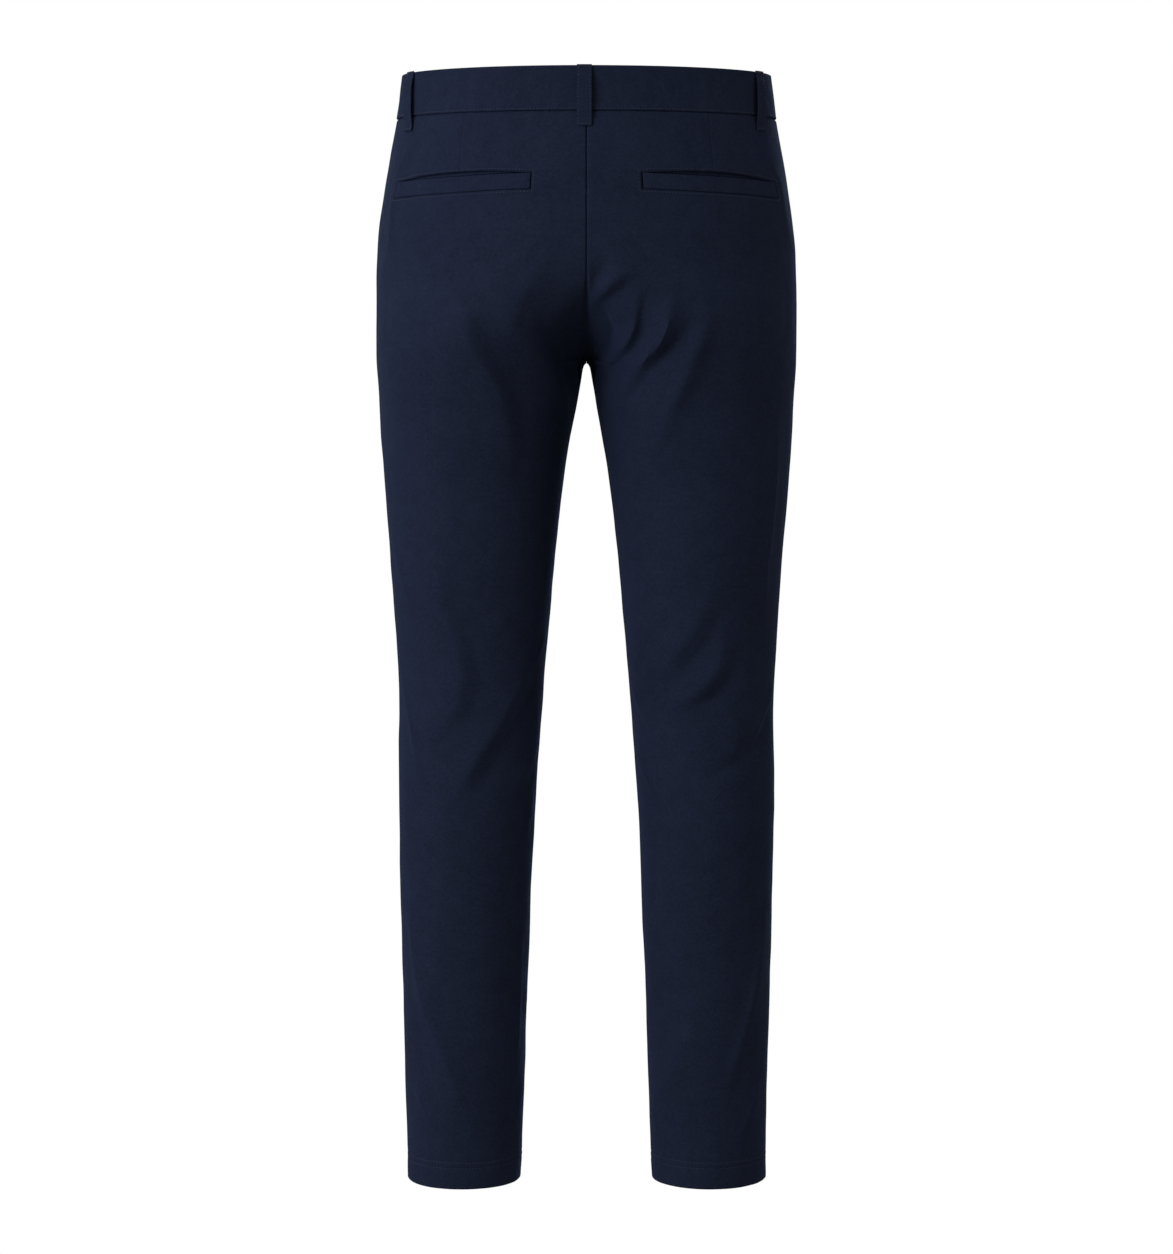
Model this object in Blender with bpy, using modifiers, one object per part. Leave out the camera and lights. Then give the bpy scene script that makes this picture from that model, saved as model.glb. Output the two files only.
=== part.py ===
"""Chino trousers, filled out as when worn, with no wearer.

+Z is up, the front faces -Y and the wearer's left is +X.  The origin is the middle of the
waist, halfway up the waistband.  All sizes below are in millimetres.

Every cloth piece is a wall lofted on one surface.  A point of that surface is named by its
arc (the run round the body from the side seam, + to the back and - to the front) and its
height.  The surface is worked out for the left half, and the right half mirrors it with
folds of its own.
"""
import math
from collections import namedtuple

import bmesh
import bpy
import numpy as np
from mathutils import Matrix, Vector

MM = 0.001
LEFT, RIGHT = 1, -1

# ---------------------------------------------------------------- driving dimensions
CLOTH = 1.8
SEAM_GAP = 0.3
LAYER_GAP = 0.35

WAIST_TOP = 20.0
WAIST_SEAM = -20.0
CROTCH = -245.0
CLEFT_TOP = {"back": -142.0, "front": -172.0}
FORK_SLOPE = 0.12
FORK_BOTTOM = -290.0
INSEAM_ROUNDING = 2.0
HEM = -1015.0
WAIST_LEAN = 0.03

BAND_PROUD = 0.5
BAND_THICK = 2.4
BAND_LAP = 28.0

HEM_TURN_UP = 25.5
HEM_EXTRA = 1.2

POCKET_TOP = -75.5
POCKET_HEIGHT = 14.5
POCKET_FROM_SIDE = 54.5
POCKET_WIDTH = 146.5
POCKET_DROP = 5.0
MOUTH_BOW = 4.2
WELT_PROUD = 0.4
FACING_THICK = 1.2
FACING_GAP = 0.45

SLANT_TOP = 48.0
SLANT_BOTTOM = -185.0
SLANT_TAIL = 8.0
SLANT_UNDERLAP = 2.0

# The left front laps over the centre by FLY_LAP down to FLY_STRAIGHT, narrows until FLY_CLOSED
# and lies level with the right front at FLY_END.
FLY_LAP = 8.0
FLY_STRAIGHT = -126.0
FLY_CLOSED = -137.0
FLY_END = -151.0
FLY_RAMP = 46.0
FLY_FLAT = 18.0

ZIP_TOP = -23.0
ZIP_HALF_WIDTH = 13.0
ZIP_THICK = 1.2
SLIDER_HEIGHT = -32.0
SLIDER_FROM_CENTRE = 3.0
SLIDER_THICK = 1.6

LOOP_WIDTH = 13.0
LOOP_THICK = 1.5

BUTTON_FROM_CENTRE = 15.0
BUTTON_HEIGHT = 1.0

# Folds fade out over this run from the centre seams, above the legs.
SEAM_QUIET = 22.0

# ---------------------------------------------------------------- tables
# A row for each section: half width of the outline, gap from the centre plane to the inseam,
# where the front, the side seam and the back lie, and how square it is (power 1 is an ellipse,
# less is fuller at the corners).
Section = namedtuple("Section", "height half_width inseam_x front_y side_y back_y power")
SECTIONS = (
    Section(-1015, 169.4, 62.6, -50, 3.5, 57, 1.0),
    Section(-923, 171.0, 58.6, -51, 5, 60.5, 0.99),
    Section(-846, 172.5, 56.1, -52, 6, 65, 0.98),
    Section(-770, 174.1, 53.2, -54.5, 7.5, 70, 0.97),
    Section(-693, 175.6, 50.2, -58, 7, 73.5, 0.97),
    Section(-617, 175.8, 45.6, -64.5, 3, 71.5, 0.97),
    Section(-560, 175.5, 41.2, -70.5, 1, 71.5, 0.97),
    Section(-504, 178.1, 36.4, -77, 0, 76, 0.96),
    Section(-447, 181.8, 31.8, -85, -1, 82.5, 0.96),
    Section(-372, 187.2, 23.8, -95, -2, 91, 0.95),
    Section(-316, 191.3, 15.4, -103, -1.5, 99, 0.94),
    Section(-279, 193.2, 8.9, -108, -1, 106, 0.93),
    Section(-245, 195.2, 3.2, -113, 0, 117, 0.92),
    Section(-205, 195.5, 1.9, -118, 0, 130, 0.91),
    Section(-168, 195.1, 1.9, -121, 0, 137, 0.9),
    Section(-131, 193.0, 1.9, -121.5, 0, 136.5, 0.91),
    Section(-94, 188.3, 1.9, -120, 0, 131, 0.93),
    Section(-57, 182.1, 1.9, -117, 0, 123, 0.96),
    Section(-20, 175.4, 1.9, -113, 0, 115, 0.99),
    Section(20, 170.2, 1.9, -110, 0, 113, 1.0),
)

# A row for each large fold: three points on it, as distance from the centre plane and height,
# how far it stands out (or sinks in, where negative) and its half width.
Fold = namedtuple("Fold", "side face start middle end lift width")
FOLDS = (
    # seat, left
    Fold(LEFT, "back", (112, -202), (90, -244), (68, -304), 3.5, 14),
    Fold(LEFT, "back", (96, -208), (69, -262), (48, -325), -4.0, 12),
    Fold(LEFT, "back", (64, -196), (44, -238), (26, -280), 3.5, 12),
    Fold(LEFT, "back", (38, -188), (33, -220), (20, -256), -3.5, 12),
    # seat, right
    Fold(RIGHT, "back", (8, -186), (26, -166), (46, -148), 2.5, 12),
    Fold(RIGHT, "back", (26, -234), (46, -216), (50, -188), -2.5, 11),
    Fold(RIGHT, "back", (28, -260), (55, -227), (70, -190), 3.0, 11),
    Fold(RIGHT, "back", (50, -268), (71, -233), (83, -198), -4.0, 12),
    Fold(RIGHT, "back", (68, -292), (92, -250), (114, -205), 3.5, 16),
    # back of the knee, left
    Fold(LEFT, "back", (128, -448), (120, -496), (116, -540), 2.5, 12),
    Fold(LEFT, "back", (114, -462), (103, -520), (112, -560), -2.5, 12),
    Fold(LEFT, "back", (50, -530), (82, -581), (116, -634), 4.5, 13),
    Fold(LEFT, "back", (40, -546), (66, -590), (96, -642), -3.5, 11),
    Fold(LEFT, "back", (112, -552), (129, -580), (144, -610), -3.0, 12),
    Fold(LEFT, "back", (44, -594), (58, -626), (76, -658), 2.5, 11),
    # back of the knee, right
    Fold(RIGHT, "back", (110, -464), (92, -492), (72, -518), 3.0, 12),
    Fold(RIGHT, "back", (138, -510), (119, -543), (98, -557), -3.5, 12),
    Fold(RIGHT, "back", (172, -546), (162, -570), (153, -598), 3.0, 11),
    Fold(RIGHT, "back", (162, -580), (151, -602), (136, -588), -3.0, 12),
    Fold(RIGHT, "back", (113, -630), (126, -626), (139, -616), -2.0, 11),
    # calf and hem, left
    Fold(LEFT, "back", (171, -763), (153, -835), (130, -905), 3.5, 11),
    Fold(LEFT, "back", (168, -908), (162, -934), (151, -960), 2.5, 11),
    Fold(LEFT, "back", (58, -788), (62, -822), (70, -857), 2.0, 11),
    # calf and hem, right
    Fold(RIGHT, "back", (171, -760), (155, -835), (138, -912), 3.5, 12),
    Fold(RIGHT, "back", (156, -880), (151, -900), (146, -922), -2.5, 11),
    Fold(RIGHT, "back", (168, -915), (160, -945), (150, -972), 2.5, 11),
    # hips
    Fold(LEFT, "back", (168, -60), (181, -130), (190, -178), 2.0, 11),
    Fold(RIGHT, "back", (170, -62), (182, -100), (188, -140), 2.0, 10),
    # lap, left
    Fold(LEFT, "front", (22, -206), (50, -191), (90, -178), 2.5, 13),
    Fold(LEFT, "front", (24, -230), (56, -214), (98, -202), -2.5, 13),
    Fold(LEFT, "front", (30, -262), (64, -246), (108, -238), 2.5, 14),
    # lap, right
    Fold(RIGHT, "front", (22, -200), (52, -187), (96, -168), 2.5, 12),
    Fold(RIGHT, "front", (24, -224), (52, -208), (88, -192), -2.5, 13),
    Fold(RIGHT, "front", (32, -270), (66, -244), (104, -224), 2.5, 14),
    # front of the knee, left
    Fold(LEFT, "front", (60, -508), (92, -530), (132, -534), 3.0, 11),
    Fold(LEFT, "front", (58, -538), (90, -562), (136, -566), -3.0, 11),
    Fold(LEFT, "front", (70, -600), (104, -617), (148, -606), 2.5, 11),
    # front of the knee, right
    Fold(RIGHT, "front", (152, -468), (128, -500), (96, -511), 2.5, 11),
    Fold(RIGHT, "front", (58, -521), (96, -545), (142, -540), 3.0, 11),
    Fold(RIGHT, "front", (56, -553), (94, -575), (138, -578), -3.0, 11),
    # shin
    Fold(LEFT, "front", (158, -812), (128, -862), (92, -884), 2.5, 11),
    Fold(LEFT, "front", (68, -930), (90, -951), (122, -948), 2.5, 10),
    Fold(RIGHT, "front", (72, -828), (101, -868), (140, -881), 2.5, 11),
    Fold(RIGHT, "front", (78, -905), (111, -923), (150, -914), -2.5, 10),
)

# A row for each belt loop: how far round from the side seam, or from the centre line at the
# back, its middle is at its top and at its bottom.
Loop = namedtuple("Loop", "name side origin top bottom")
LOOPS = (
    Loop("belt_loop_centre_back", LEFT, "centre", -1.9, -1.9),
    Loop("belt_loop_side_left", LEFT, "side", 40.5, 53.0),
    Loop("belt_loop_side_right", RIGHT, "side", 46.5, 58.5),
    Loop("belt_loop_front_left", LEFT, "side", -72.0, -75.0),
    Loop("belt_loop_front_right", RIGHT, "side", -72.0, -75.0),
)

# A row for each bend of a belt loop, top to bottom: its height, and how far its inside
# stands off the panels.
Bend = namedtuple("Bend", "height stand_off")
LOOP_BENDS = (
    Bend(20.4, 0.85),
    Bend(16.0, 0.9),
    Bend(11.0, 2.5),
    Bend(4.0, 3.5),
    Bend(-6.0, 3.8),
    Bend(-17.0, 3.5),
    Bend(-24.0, 2.4),
    Bend(-29.5, 0.6),
    Bend(-35.0, 0.35),
)

# The waist button's profile, from the middle of its face to the middle of its back.
Turn = namedtuple("Turn", "radius height")
BUTTON_PROFILE = (
    Turn(0.0, 1.7),
    Turn(4.2, 1.7),
    Turn(5.4, 2.6),
    Turn(7.4, 2.9),
    Turn(8.5, 2.1),
    Turn(8.5, 1.0),
    Turn(7.2, 0.0),
    Turn(0.0, 0.0),
)

# The zip slider's outline, from its middle: the body above, the pull tab below.
Corner = namedtuple("Corner", "x y")
SLIDER_OUTLINE = (
    Corner(-2.2, 4), Corner(2.2, 4), Corner(2.2, -4), Corner(1.5, -5), Corner(1.5, -18),
    Corner(0.8, -19), Corner(-0.8, -19), Corner(-1.5, -18), Corner(-1.5, -5), Corner(-2.2, -4),
)

# ---------------------------------------------------------------- how finely it is meshed
RING_STEPS = 161
FOLD_STEPS = 9
PROBE = 1.0
FRONT_COLUMNS = 11
POCKET_COLUMNS = (3, 10, 4)
BAND_COLUMNS, BAND_ROWS = 28, 3
ZIP_COLUMNS, ZIP_ROWS = 4, 6
BUTTON_STEPS = 24
CROWDED = (-203.0, -325.0)
FORK_PULL = 6


def row_heights():
    """Heights of the panels' rows at the inner edge, from the waist seam to the hem."""
    hip = [-37, -54, POCKET_TOP, POCKET_TOP - POCKET_HEIGHT, -106, FLY_STRAIGHT, FLY_CLOSED, FLY_END]
    seat = [-165, -178, -191, -203, -213]
    rise = [CROTCH + up for up in (23, 15, 8.5, 4, 1.2, 0)]
    fork = [CROTCH - drop for drop in (3, 10, 24, 42, 60)]
    thigh = list(np.linspace(-325, -500, 9))
    knee = list(np.linspace(-500, -660, 10)[1:])
    shin = list(np.linspace(-660, -980, 13)[1:])
    hem = [HEM + HEM_TURN_UP + 1, HEM + HEM_TURN_UP - 1, HEM]
    return np.array([WAIST_SEAM - SEAM_GAP / 2] + hip + seat + rise + fork + thigh + knee + shin + hem)


def panel_rows(shares):
    """Shares and heights of a panel's grid.  Its rows crowd at the fork and spread out evenly
    towards the side seam."""
    inner = row_heights()
    first, last = (int(np.argmin(np.abs(inner - height))) for height in CROWDED)
    side = inner.copy()
    side[first:last + 1] = np.linspace(inner[first], inner[last], last - first + 1)
    return np.broadcast_arrays(shares, side[:, None] + (inner - side)[:, None] * shares ** 2)


# ---------------------------------------------------------------- the body's surface
def smoothstep(value):
    value = np.clip(value, 0.0, 1.0)
    return value * value * (3.0 - 2.0 * value)


def column(name, height):
    """One column of SECTIONS at any heights, on a smooth curve through its rows."""
    heights = np.array([row.height for row in SECTIONS], float)
    values = np.array([getattr(row, name) for row in SECTIONS], float)
    slopes = np.gradient(values, heights)
    k = np.clip(np.searchsorted(heights, height) - 1, 0, len(heights) - 2)
    step = heights[k + 1] - heights[k]
    t = (height - heights[k]) / step
    start = (1 + 2 * t) * (1 - t) ** 2 * values[k] + t * (1 - t) ** 2 * step * slopes[k]
    end = t * t * (3 - 2 * t) * values[k + 1] + t * t * (t - 1) * step * slopes[k + 1]
    return start + end


def inner_edge(height):
    """How far the end of a half section stays from the centre plane."""
    below = np.maximum(CROTCH - height, 0.0)
    inseam = column("inseam_x", height)
    rounded = inseam - (inseam - SEAM_GAP / 2) * np.exp(-below / INSEAM_ROUNDING)
    return np.where(below > 0, rounded, SEAM_GAP / 2)


def cleft(face, height):
    """0 where the two halves make one round body, rising to 1 where each is a whole leg."""
    down = np.clip((CLEFT_TOP[face] - height) / (CLEFT_TOP[face] - CROTCH), 0.0, 1.0)
    return down * down * ((3 - FORK_SLOPE) - (2 - FORK_SLOPE) * down)


def lean(height):
    """Rise of a section towards the back, for each millimetre."""
    return WAIST_LEAN * smoothstep((height - CROTCH) / (WAIST_SEAM - CROTCH))


def section_frame(face, height):
    """Middle, half width and power of a half section's rounded outline, and how far it wraps."""
    wrap = cleft(face, height)
    power = column("power", height)
    width = (column("half_width", height) - inner_edge(height)) / (1 + wrap)
    middle = column("half_width", height) - width
    end_angle = math.pi / 2 + np.arcsin(wrap ** (1 / power))
    return middle, width, power, end_angle


def ring(face, height):
    """A half section from the side seam to its end: x, y and the run to each of its points."""
    middle, width, power, end_angle = (value[:, None] for value in section_frame(face, height))
    angle = end_angle * np.linspace(0, 1, RING_STEPS)
    cosine = np.cos(angle)
    side_y = column("side_y", height)[:, None]
    depth = column(face + "_y", height)[:, None] - side_y
    x = middle + width * np.sign(cosine) * np.abs(cosine) ** power
    y = side_y + depth * np.abs(np.sin(angle)) ** power
    steps = np.hypot(np.diff(x, axis=1), np.diff(y, axis=1))
    run = np.hstack([np.zeros((len(height), 1)), np.cumsum(steps, axis=1)])
    return x, y, run


def read_ring(points, run):
    """x and y at a run along each ring."""
    x, y, total = points
    rows = np.arange(len(run))
    k = np.clip((total <= run[:, None]).sum(axis=1) - 1, 0, RING_STEPS - 2)
    t = (run - total[rows, k]) / (total[rows, k + 1] - total[rows, k])
    return tuple(axis[rows, k] + t * (axis[rows, k + 1] - axis[rows, k]) for axis in (x, y))


def reach(face, height):
    """Length of a half section from the side seam to the centre line or the inseam."""
    height = np.atleast_1d(np.asarray(height, float))
    return ring(face, height)[2][:, -1]


def surface(arc, height):
    """Points of the left half.  Past the centre line an arc goes on into the other half, and
    past the inseam into the other face of the leg."""
    rings = {face: ring(face, height) for face in ("back", "front")}
    ends = {face: rings[face][2][:, -1] for face in rings}
    behind = arc >= 0
    own = np.where(behind, ends["back"], ends["front"])
    other = np.where(behind, ends["front"], ends["back"])
    over = np.abs(arc) - own
    crosses = (over > 0) & (height > CROTCH)
    wraps = (over > 0) & (height <= CROTCH)
    run = np.where(wraps, other - over, np.where(crosses, own - over, np.abs(arc)))
    on_back = behind ^ wraps
    back, front = (read_ring(rings[face], run) for face in ("back", "front"))
    x = np.where(on_back, back[0], front[0]) * np.where(crosses, -1, 1)
    y = np.where(on_back, back[1], front[1])
    return np.stack([x, y, height + lean(height) * y], axis=1)


def evened(face, share, height):
    """Shares of a section's reach.  At the fork the reach changes within a few millimetres, and
    only the columns by the inner edge follow it."""
    full = reach(face, height.ravel()).reshape(height.shape)
    stops = np.array([FORK_BOTTOM, CLEFT_TOP[face]])
    inside = (height > FORK_BOTTOM) & (height < CLEFT_TOP[face])
    ratio = np.where(inside, np.interp(height, stops, reach(face, stops)), full) / full
    return share * ratio + share ** FORK_PULL * (1 - ratio), full


def own_reach(arc, height):
    return np.where(arc >= 0, reach("back", height), reach("front", height))


def outward(arc, height):
    """Unit normals of the surface, out of the garment."""
    share = arc / own_reach(arc, height)
    along = surface(arc + PROBE, height) - surface(arc - PROBE, height)
    above, below = height + PROBE, height - PROBE
    upward = surface(share * own_reach(arc, above), above) - surface(share * own_reach(arc, below), below)
    normal = np.cross(along, upward)
    return normal / np.linalg.norm(normal, axis=1, keepdims=True)


# ---------------------------------------------------------------- folds
def on_section(face, x, height):
    """Points of the left half at a distance from the centre plane and a height."""
    middle, width, power, _ = section_frame(face, height)
    cosine = np.clip((x - middle) / width, -1, 1)
    angle = np.arccos(np.sign(cosine) * np.abs(cosine) ** (1 / power))
    side_y = column("side_y", height)
    y = side_y + (column(face + "_y", height) - side_y) * np.sin(angle) ** power
    return np.stack([x, y, height + lean(height) * y], axis=1)


def fold_line(fold):
    """A smooth line on the surface through a fold's three points."""
    t = np.linspace(0, 1, FOLD_STEPS)[:, None]
    start, middle, end = (np.array(point, float) for point in (fold.start, fold.middle, fold.end))
    line = start * (1 - t) * (1 - 2 * t) + middle * 4 * t * (1 - t) + end * t * (2 * t - 1)
    return on_section(fold.face, line[:, 0], line[:, 1])


def nearest_on_line(points, line):
    """Distance of each point to a line, and the share of the line run at its nearest place."""
    start, step = line[:-1], np.diff(line, axis=0)
    from_start = points[:, None] - start
    t = np.clip((from_start * step).sum(axis=2) / (step * step).sum(axis=1), 0, 1)
    distance = np.linalg.norm(from_start - t[:, :, None] * step, axis=2)
    rows, k = np.arange(len(points)), distance.argmin(axis=1)
    return distance[rows, k], (k + t[rows, k]) / len(start)


def relief(points, side):
    """How far the folds of one half lift each point.  They fade out towards the centre seams."""
    lift = np.zeros(len(points))
    for fold in FOLDS:
        if fold.side == side:
            distance, share = nearest_on_line(points, fold_line(fold))
            swell = np.sin(math.pi * (0.1 + 0.8 * share))
            lift += fold.lift * np.exp(-(distance / fold.width) ** 2) * swell
    near_seam = smoothstep((points[:, 2] - CROTCH + 90) / 50)
    fade = smoothstep(np.abs(points[:, 0]) / SEAM_QUIET)
    return lift * (1 - near_seam * (1 - fade))


# ---------------------------------------------------------------- walls
Wall = namedtuple("Wall", "outer inner side")
CELL_CORNERS = ((0, 0), (1, 0), (1, 1), (0, 1))
CELL_NEIGHBOURS = ((0, -1), (1, 0), (0, 1), (-1, 0))


def wall(arc, height, outer, inner, side):
    """Both skins of a piece: grids of arcs and heights, moved out of the surface."""
    arc, height = np.broadcast_arrays(np.asarray(arc, float), np.asarray(height, float))
    shape = arc.shape
    arc, height = arc.ravel(), height.ravel()
    points = surface(arc, height)
    normals = outward(arc, height)
    lift = relief(points, side)
    skins = []
    for offset in (outer, inner):
        out = lift + np.broadcast_to(offset, shape).ravel()
        skin = (points + normals * out[:, None]) * (side, 1, 1) * MM
        skins.append(skin.reshape(*shape, 3))
    return Wall(*skins, side)


def wall_faces(keep):
    """Corners (skin, row, column) of a wall's faces: two skins, and a rim along each free edge."""
    padded = np.pad(keep, 1)
    for i, j in np.argwhere(keep):
        corners = [(i + down, j + across) for down, across in CELL_CORNERS]
        yield [(0, *corner) for corner in corners]
        yield [(1, *corners[k]) for k in (0, 3, 2, 1)]
        for k, (down, across) in enumerate(CELL_NEIGHBOURS):
            if not padded[i + 1 + down, j + 1 + across]:
                a, b = corners[k], corners[(k + 1) % 4]
                yield [(0, *b), (0, *a), (1, *a), (1, *b)]


def wall_object(name, piece, material, window=None):
    """A closed solid between two skins, less the cells of a window."""
    rows, columns = piece.outer.shape[:2]
    keep = np.ones((rows - 1, columns - 1), bool)
    if window:
        keep[window] = False
    bm = bmesh.new()
    verts = [[[bm.verts.new(point) for point in row] for row in skin] for skin in piece[:2]]
    for corners in wall_faces(keep):
        ordered = corners if piece.side == LEFT else [corners[k] for k in (0, 3, 2, 1)]
        bm.faces.new([verts[skin][i][j] for skin, i, j in ordered])
    obj = mesh_object(name, bm, material)
    split = obj.modifiers.new("Triangles", "TRIANGULATE")
    split.quad_method = "FIXED"
    return obj


def mesh_object(name, bm, material):
    mesh = bpy.data.meshes.new(name)
    bm.to_mesh(mesh)
    bm.free()
    mesh.shade_smooth()
    mesh.set_sharp_from_angle(angle=math.radians(40))
    return placed(name, mesh, material)


def placed(name, data, material, matrix=Matrix()):
    obj = bpy.data.objects.new(name, data)
    data.materials.append(material)
    obj.matrix_world = matrix
    TROUSERS.objects.link(obj)
    return obj


def principled(name, color, roughness, metallic=0.0):
    material = bpy.data.materials.new(name)
    material.use_nodes = True
    shader = material.node_tree.nodes["Principled BSDF"]
    shader.inputs["Base Color"].default_value = (*color, 1)
    shader.inputs["Roughness"].default_value = roughness
    shader.inputs["Metallic"].default_value = metallic
    return material


# ---------------------------------------------------------------- panels
def wall_thickness(height):
    """The hem is turned up, so the cloth is thicker there."""
    return CLOTH + HEM_EXTRA * (height < HEM + HEM_TURN_UP)


def back_shares():
    """Places of the back panel's columns, as shares of its width, in line with the pocket."""
    width = reach("back", POCKET_TOP)[0]
    stops = (0, POCKET_FROM_SIDE / width, (POCKET_FROM_SIDE + POCKET_WIDTH) / width, 1)
    parts = [np.linspace(a, b, n + 1)[1:] for a, b, n in zip(stops, stops[1:], POCKET_COLUMNS)]
    return np.concatenate([[0], *parts])


def pocket_drop(share, height):
    """The back pockets slope: rows near them sink towards the side."""
    outer = back_shares()[POCKET_COLUMNS[0]]
    inner = back_shares()[POCKET_COLUMNS[0] + POCKET_COLUMNS[1]]
    across = np.interp(share, (0, outer, inner, 1), (0, POCKET_DROP, 0, 0))
    middle = POCKET_TOP - POCKET_HEIGHT / 2
    near = 1 - np.abs(height - middle) / (WAIST_SEAM - middle)
    return across * smoothstep(1.6 * near)


def mouth_bow(share):
    """How far the pocket's upper lip bows up over the straight top of its welt."""
    first = POCKET_COLUMNS[0]
    stops = back_shares()[[first, first + POCKET_COLUMNS[1]]]
    return MOUTH_BOW * np.sin(np.interp(share, stops, (0, math.pi)))


def back_grid(share, height):
    """Arcs and heights of the back panel's columns and rows."""
    height = height - pocket_drop(share, height) + mouth_bow(share) * (height == POCKET_TOP)
    share, width = evened("back", share, height)
    return SEAM_GAP / 2 + share * (width - SEAM_GAP), height


def pocket_window():
    """The cells of the back panel that the pocket takes out."""
    row = int(np.argmin(np.abs(row_heights() - POCKET_TOP)))
    first = POCKET_COLUMNS[0]
    return slice(row, row + 1), slice(first, first + POCKET_COLUMNS[1])


def back_panel(name, side):
    arc, height = back_grid(*panel_rows(back_shares()))
    piece = wall(arc, height, 0.0, -wall_thickness(height), side)
    return wall_object(name, piece, CLOTH_MATERIAL, pocket_window())


def slant(height):
    """How far the slanted pocket mouth lies from the side seam."""
    return SLANT_TOP * np.clip((height - SLANT_BOTTOM) / (WAIST_SEAM - SLANT_BOTTOM), 0, 1)


def fly_lift(arc, height):
    """The left front rides up over the right one along the fly."""
    before_centre = reach("front", height.ravel()).reshape(height.shape) - np.abs(arc)
    ramp = smoothstep((FLY_RAMP - before_centre) / (FLY_RAMP - FLY_FLAT))
    open_part = smoothstep((height - FLY_END) / (FLY_CLOSED - FLY_END))
    return (CLOTH + LAYER_GAP) * ramp * open_part


def front_panel(name, side):
    share, height = panel_rows(np.linspace(1, 0, FRONT_COLUMNS + 1))
    share, width = evened("front", share, height)
    lap = np.clip((height - FLY_CLOSED) / (FLY_STRAIGHT - FLY_CLOSED), 0, 1) * (side == LEFT)
    start = SEAM_GAP / 2 + slant(height)
    end = width - SEAM_GAP / 2 + (FLY_LAP + SEAM_GAP / 2) * lap
    arc = -(start + share * (end - start))
    lift = fly_lift(arc, height) if side == LEFT else 0.0
    piece = wall(arc, height, lift, lift - wall_thickness(height), side)
    return wall_object(name, piece, CLOTH_MATERIAL)


# ---------------------------------------------------------------- pockets
def back_welt(name, side):
    """The welt fills the pocket's window, up to a straight top edge under the bowed lip."""
    first = POCKET_COLUMNS[0]
    shares = back_shares()[first:first + POCKET_COLUMNS[1] + 1]
    arc, height = back_grid(*np.meshgrid(shares, [POCKET_TOP, POCKET_TOP - POCKET_HEIGHT]))
    arc[:, 0] += SEAM_GAP
    arc[:, -1] -= SEAM_GAP
    bow = mouth_bow(shares)
    top = (SEAM_GAP + bow) / (POCKET_HEIGHT + bow)
    bottom = 1 - SEAM_GAP / (POCKET_HEIGHT + bow)
    down = top + (bottom - top) * np.array([0, 0.5, 1])[:, None]
    arc, height = (grid[0] + (grid[1] - grid[0]) * down for grid in (arc, height))
    return wall_object(name, wall(arc, height, WELT_PROUD, WELT_PROUD - CLOTH, side), CLOTH_MATERIAL)


def back_facing(name, side):
    """The strip behind the pocket mouth, inside the back panel: a row and a column wider all round."""
    rows, columns = pocket_window()
    heights = row_heights()[rows.start - 1:rows.stop + 2]
    shares = back_shares()[columns.start - 1:columns.stop + 2]
    outer = -CLOTH - FACING_GAP
    piece = wall(*back_grid(*np.meshgrid(shares, heights)), outer, outer - FACING_THICK, side)
    return wall_object(name, piece, CLOTH_MATERIAL)


def front_facing(name, side):
    """The cloth that shows in the slanted mouth, from under the back panel to under the front."""
    rows = row_heights()
    height = rows[rows > SLANT_BOTTOM - SLANT_TAIL]
    mouth = slant(height)
    under_front = mouth + (reach("front", height) - mouth) / FRONT_COLUMNS
    under_back = back_shares()[1] * reach("back", height)
    just_under = mouth + SLANT_UNDERLAP
    arc = np.stack([-under_front, -just_under, -just_under / 2, 0 * height, under_back], axis=1)
    outer = -CLOTH - FACING_GAP
    return wall_object(name, wall(arc, height[:, None], outer, outer - FACING_THICK, side), CLOTH_MATERIAL)


# ---------------------------------------------------------------- waist and fly
def waistband(name, side):
    """Half of the band.  The left one laps over the right one at the front."""
    lap = BAND_LAP if side == LEFT else -SEAM_GAP / 2
    columns = np.linspace(0, 1, BAND_COLUMNS + 1)
    rows = np.linspace(WAIST_TOP, WAIST_SEAM + SEAM_GAP / 2, BAND_ROWS + 1)
    share, height = np.meshgrid(columns, rows)
    front = reach("front", height.ravel()).reshape(height.shape)
    back = reach("back", height.ravel()).reshape(height.shape)
    arc = -(front + lap) + share * (front + lap + back - SEAM_GAP / 2)
    ramp = smoothstep((FLY_RAMP - (front + arc)) / (FLY_RAMP - FLY_FLAT)) * (side == LEFT)
    outer = BAND_PROUD + (BAND_THICK + LAYER_GAP) * ramp
    return wall_object(name, wall(arc, height, outer, outer - BAND_THICK, side), CLOTH_MATERIAL)


def belt_loop(loop):
    """A strap that is sewn down at both ends and stands off in between."""
    heights = np.array([bend.height for bend in LOOP_BENDS])[:, None]
    stand_off = np.array([bend.stand_off for bend in LOOP_BENDS])[:, None]
    start = reach("back", heights.ravel())[:, None] if loop.origin == "centre" else 0.0
    middle = start + np.interp(heights, (heights.min(), heights.max()), (loop.bottom, loop.top))
    arc = middle + LOOP_WIDTH * np.array([-0.5, 0, 0.5])
    piece = wall(arc, heights, stand_off + LOOP_THICK, stand_off, loop.side)
    return wall_object(loop.name, piece, CLOTH_MATERIAL)


def fly_zip(name):
    """The zip's tape, behind the fly."""
    columns = np.linspace(ZIP_HALF_WIDTH, -ZIP_HALF_WIDTH, ZIP_COLUMNS + 1)
    across, height = np.meshgrid(columns, np.linspace(ZIP_TOP, FLY_CLOSED, ZIP_ROWS + 1))
    arc = -reach("front", height.ravel()).reshape(height.shape) - across
    outer = -CLOTH - LAYER_GAP
    return wall_object(name, wall(arc, height, outer, outer - ZIP_THICK, LEFT), TAPE_MATERIAL)


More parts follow.
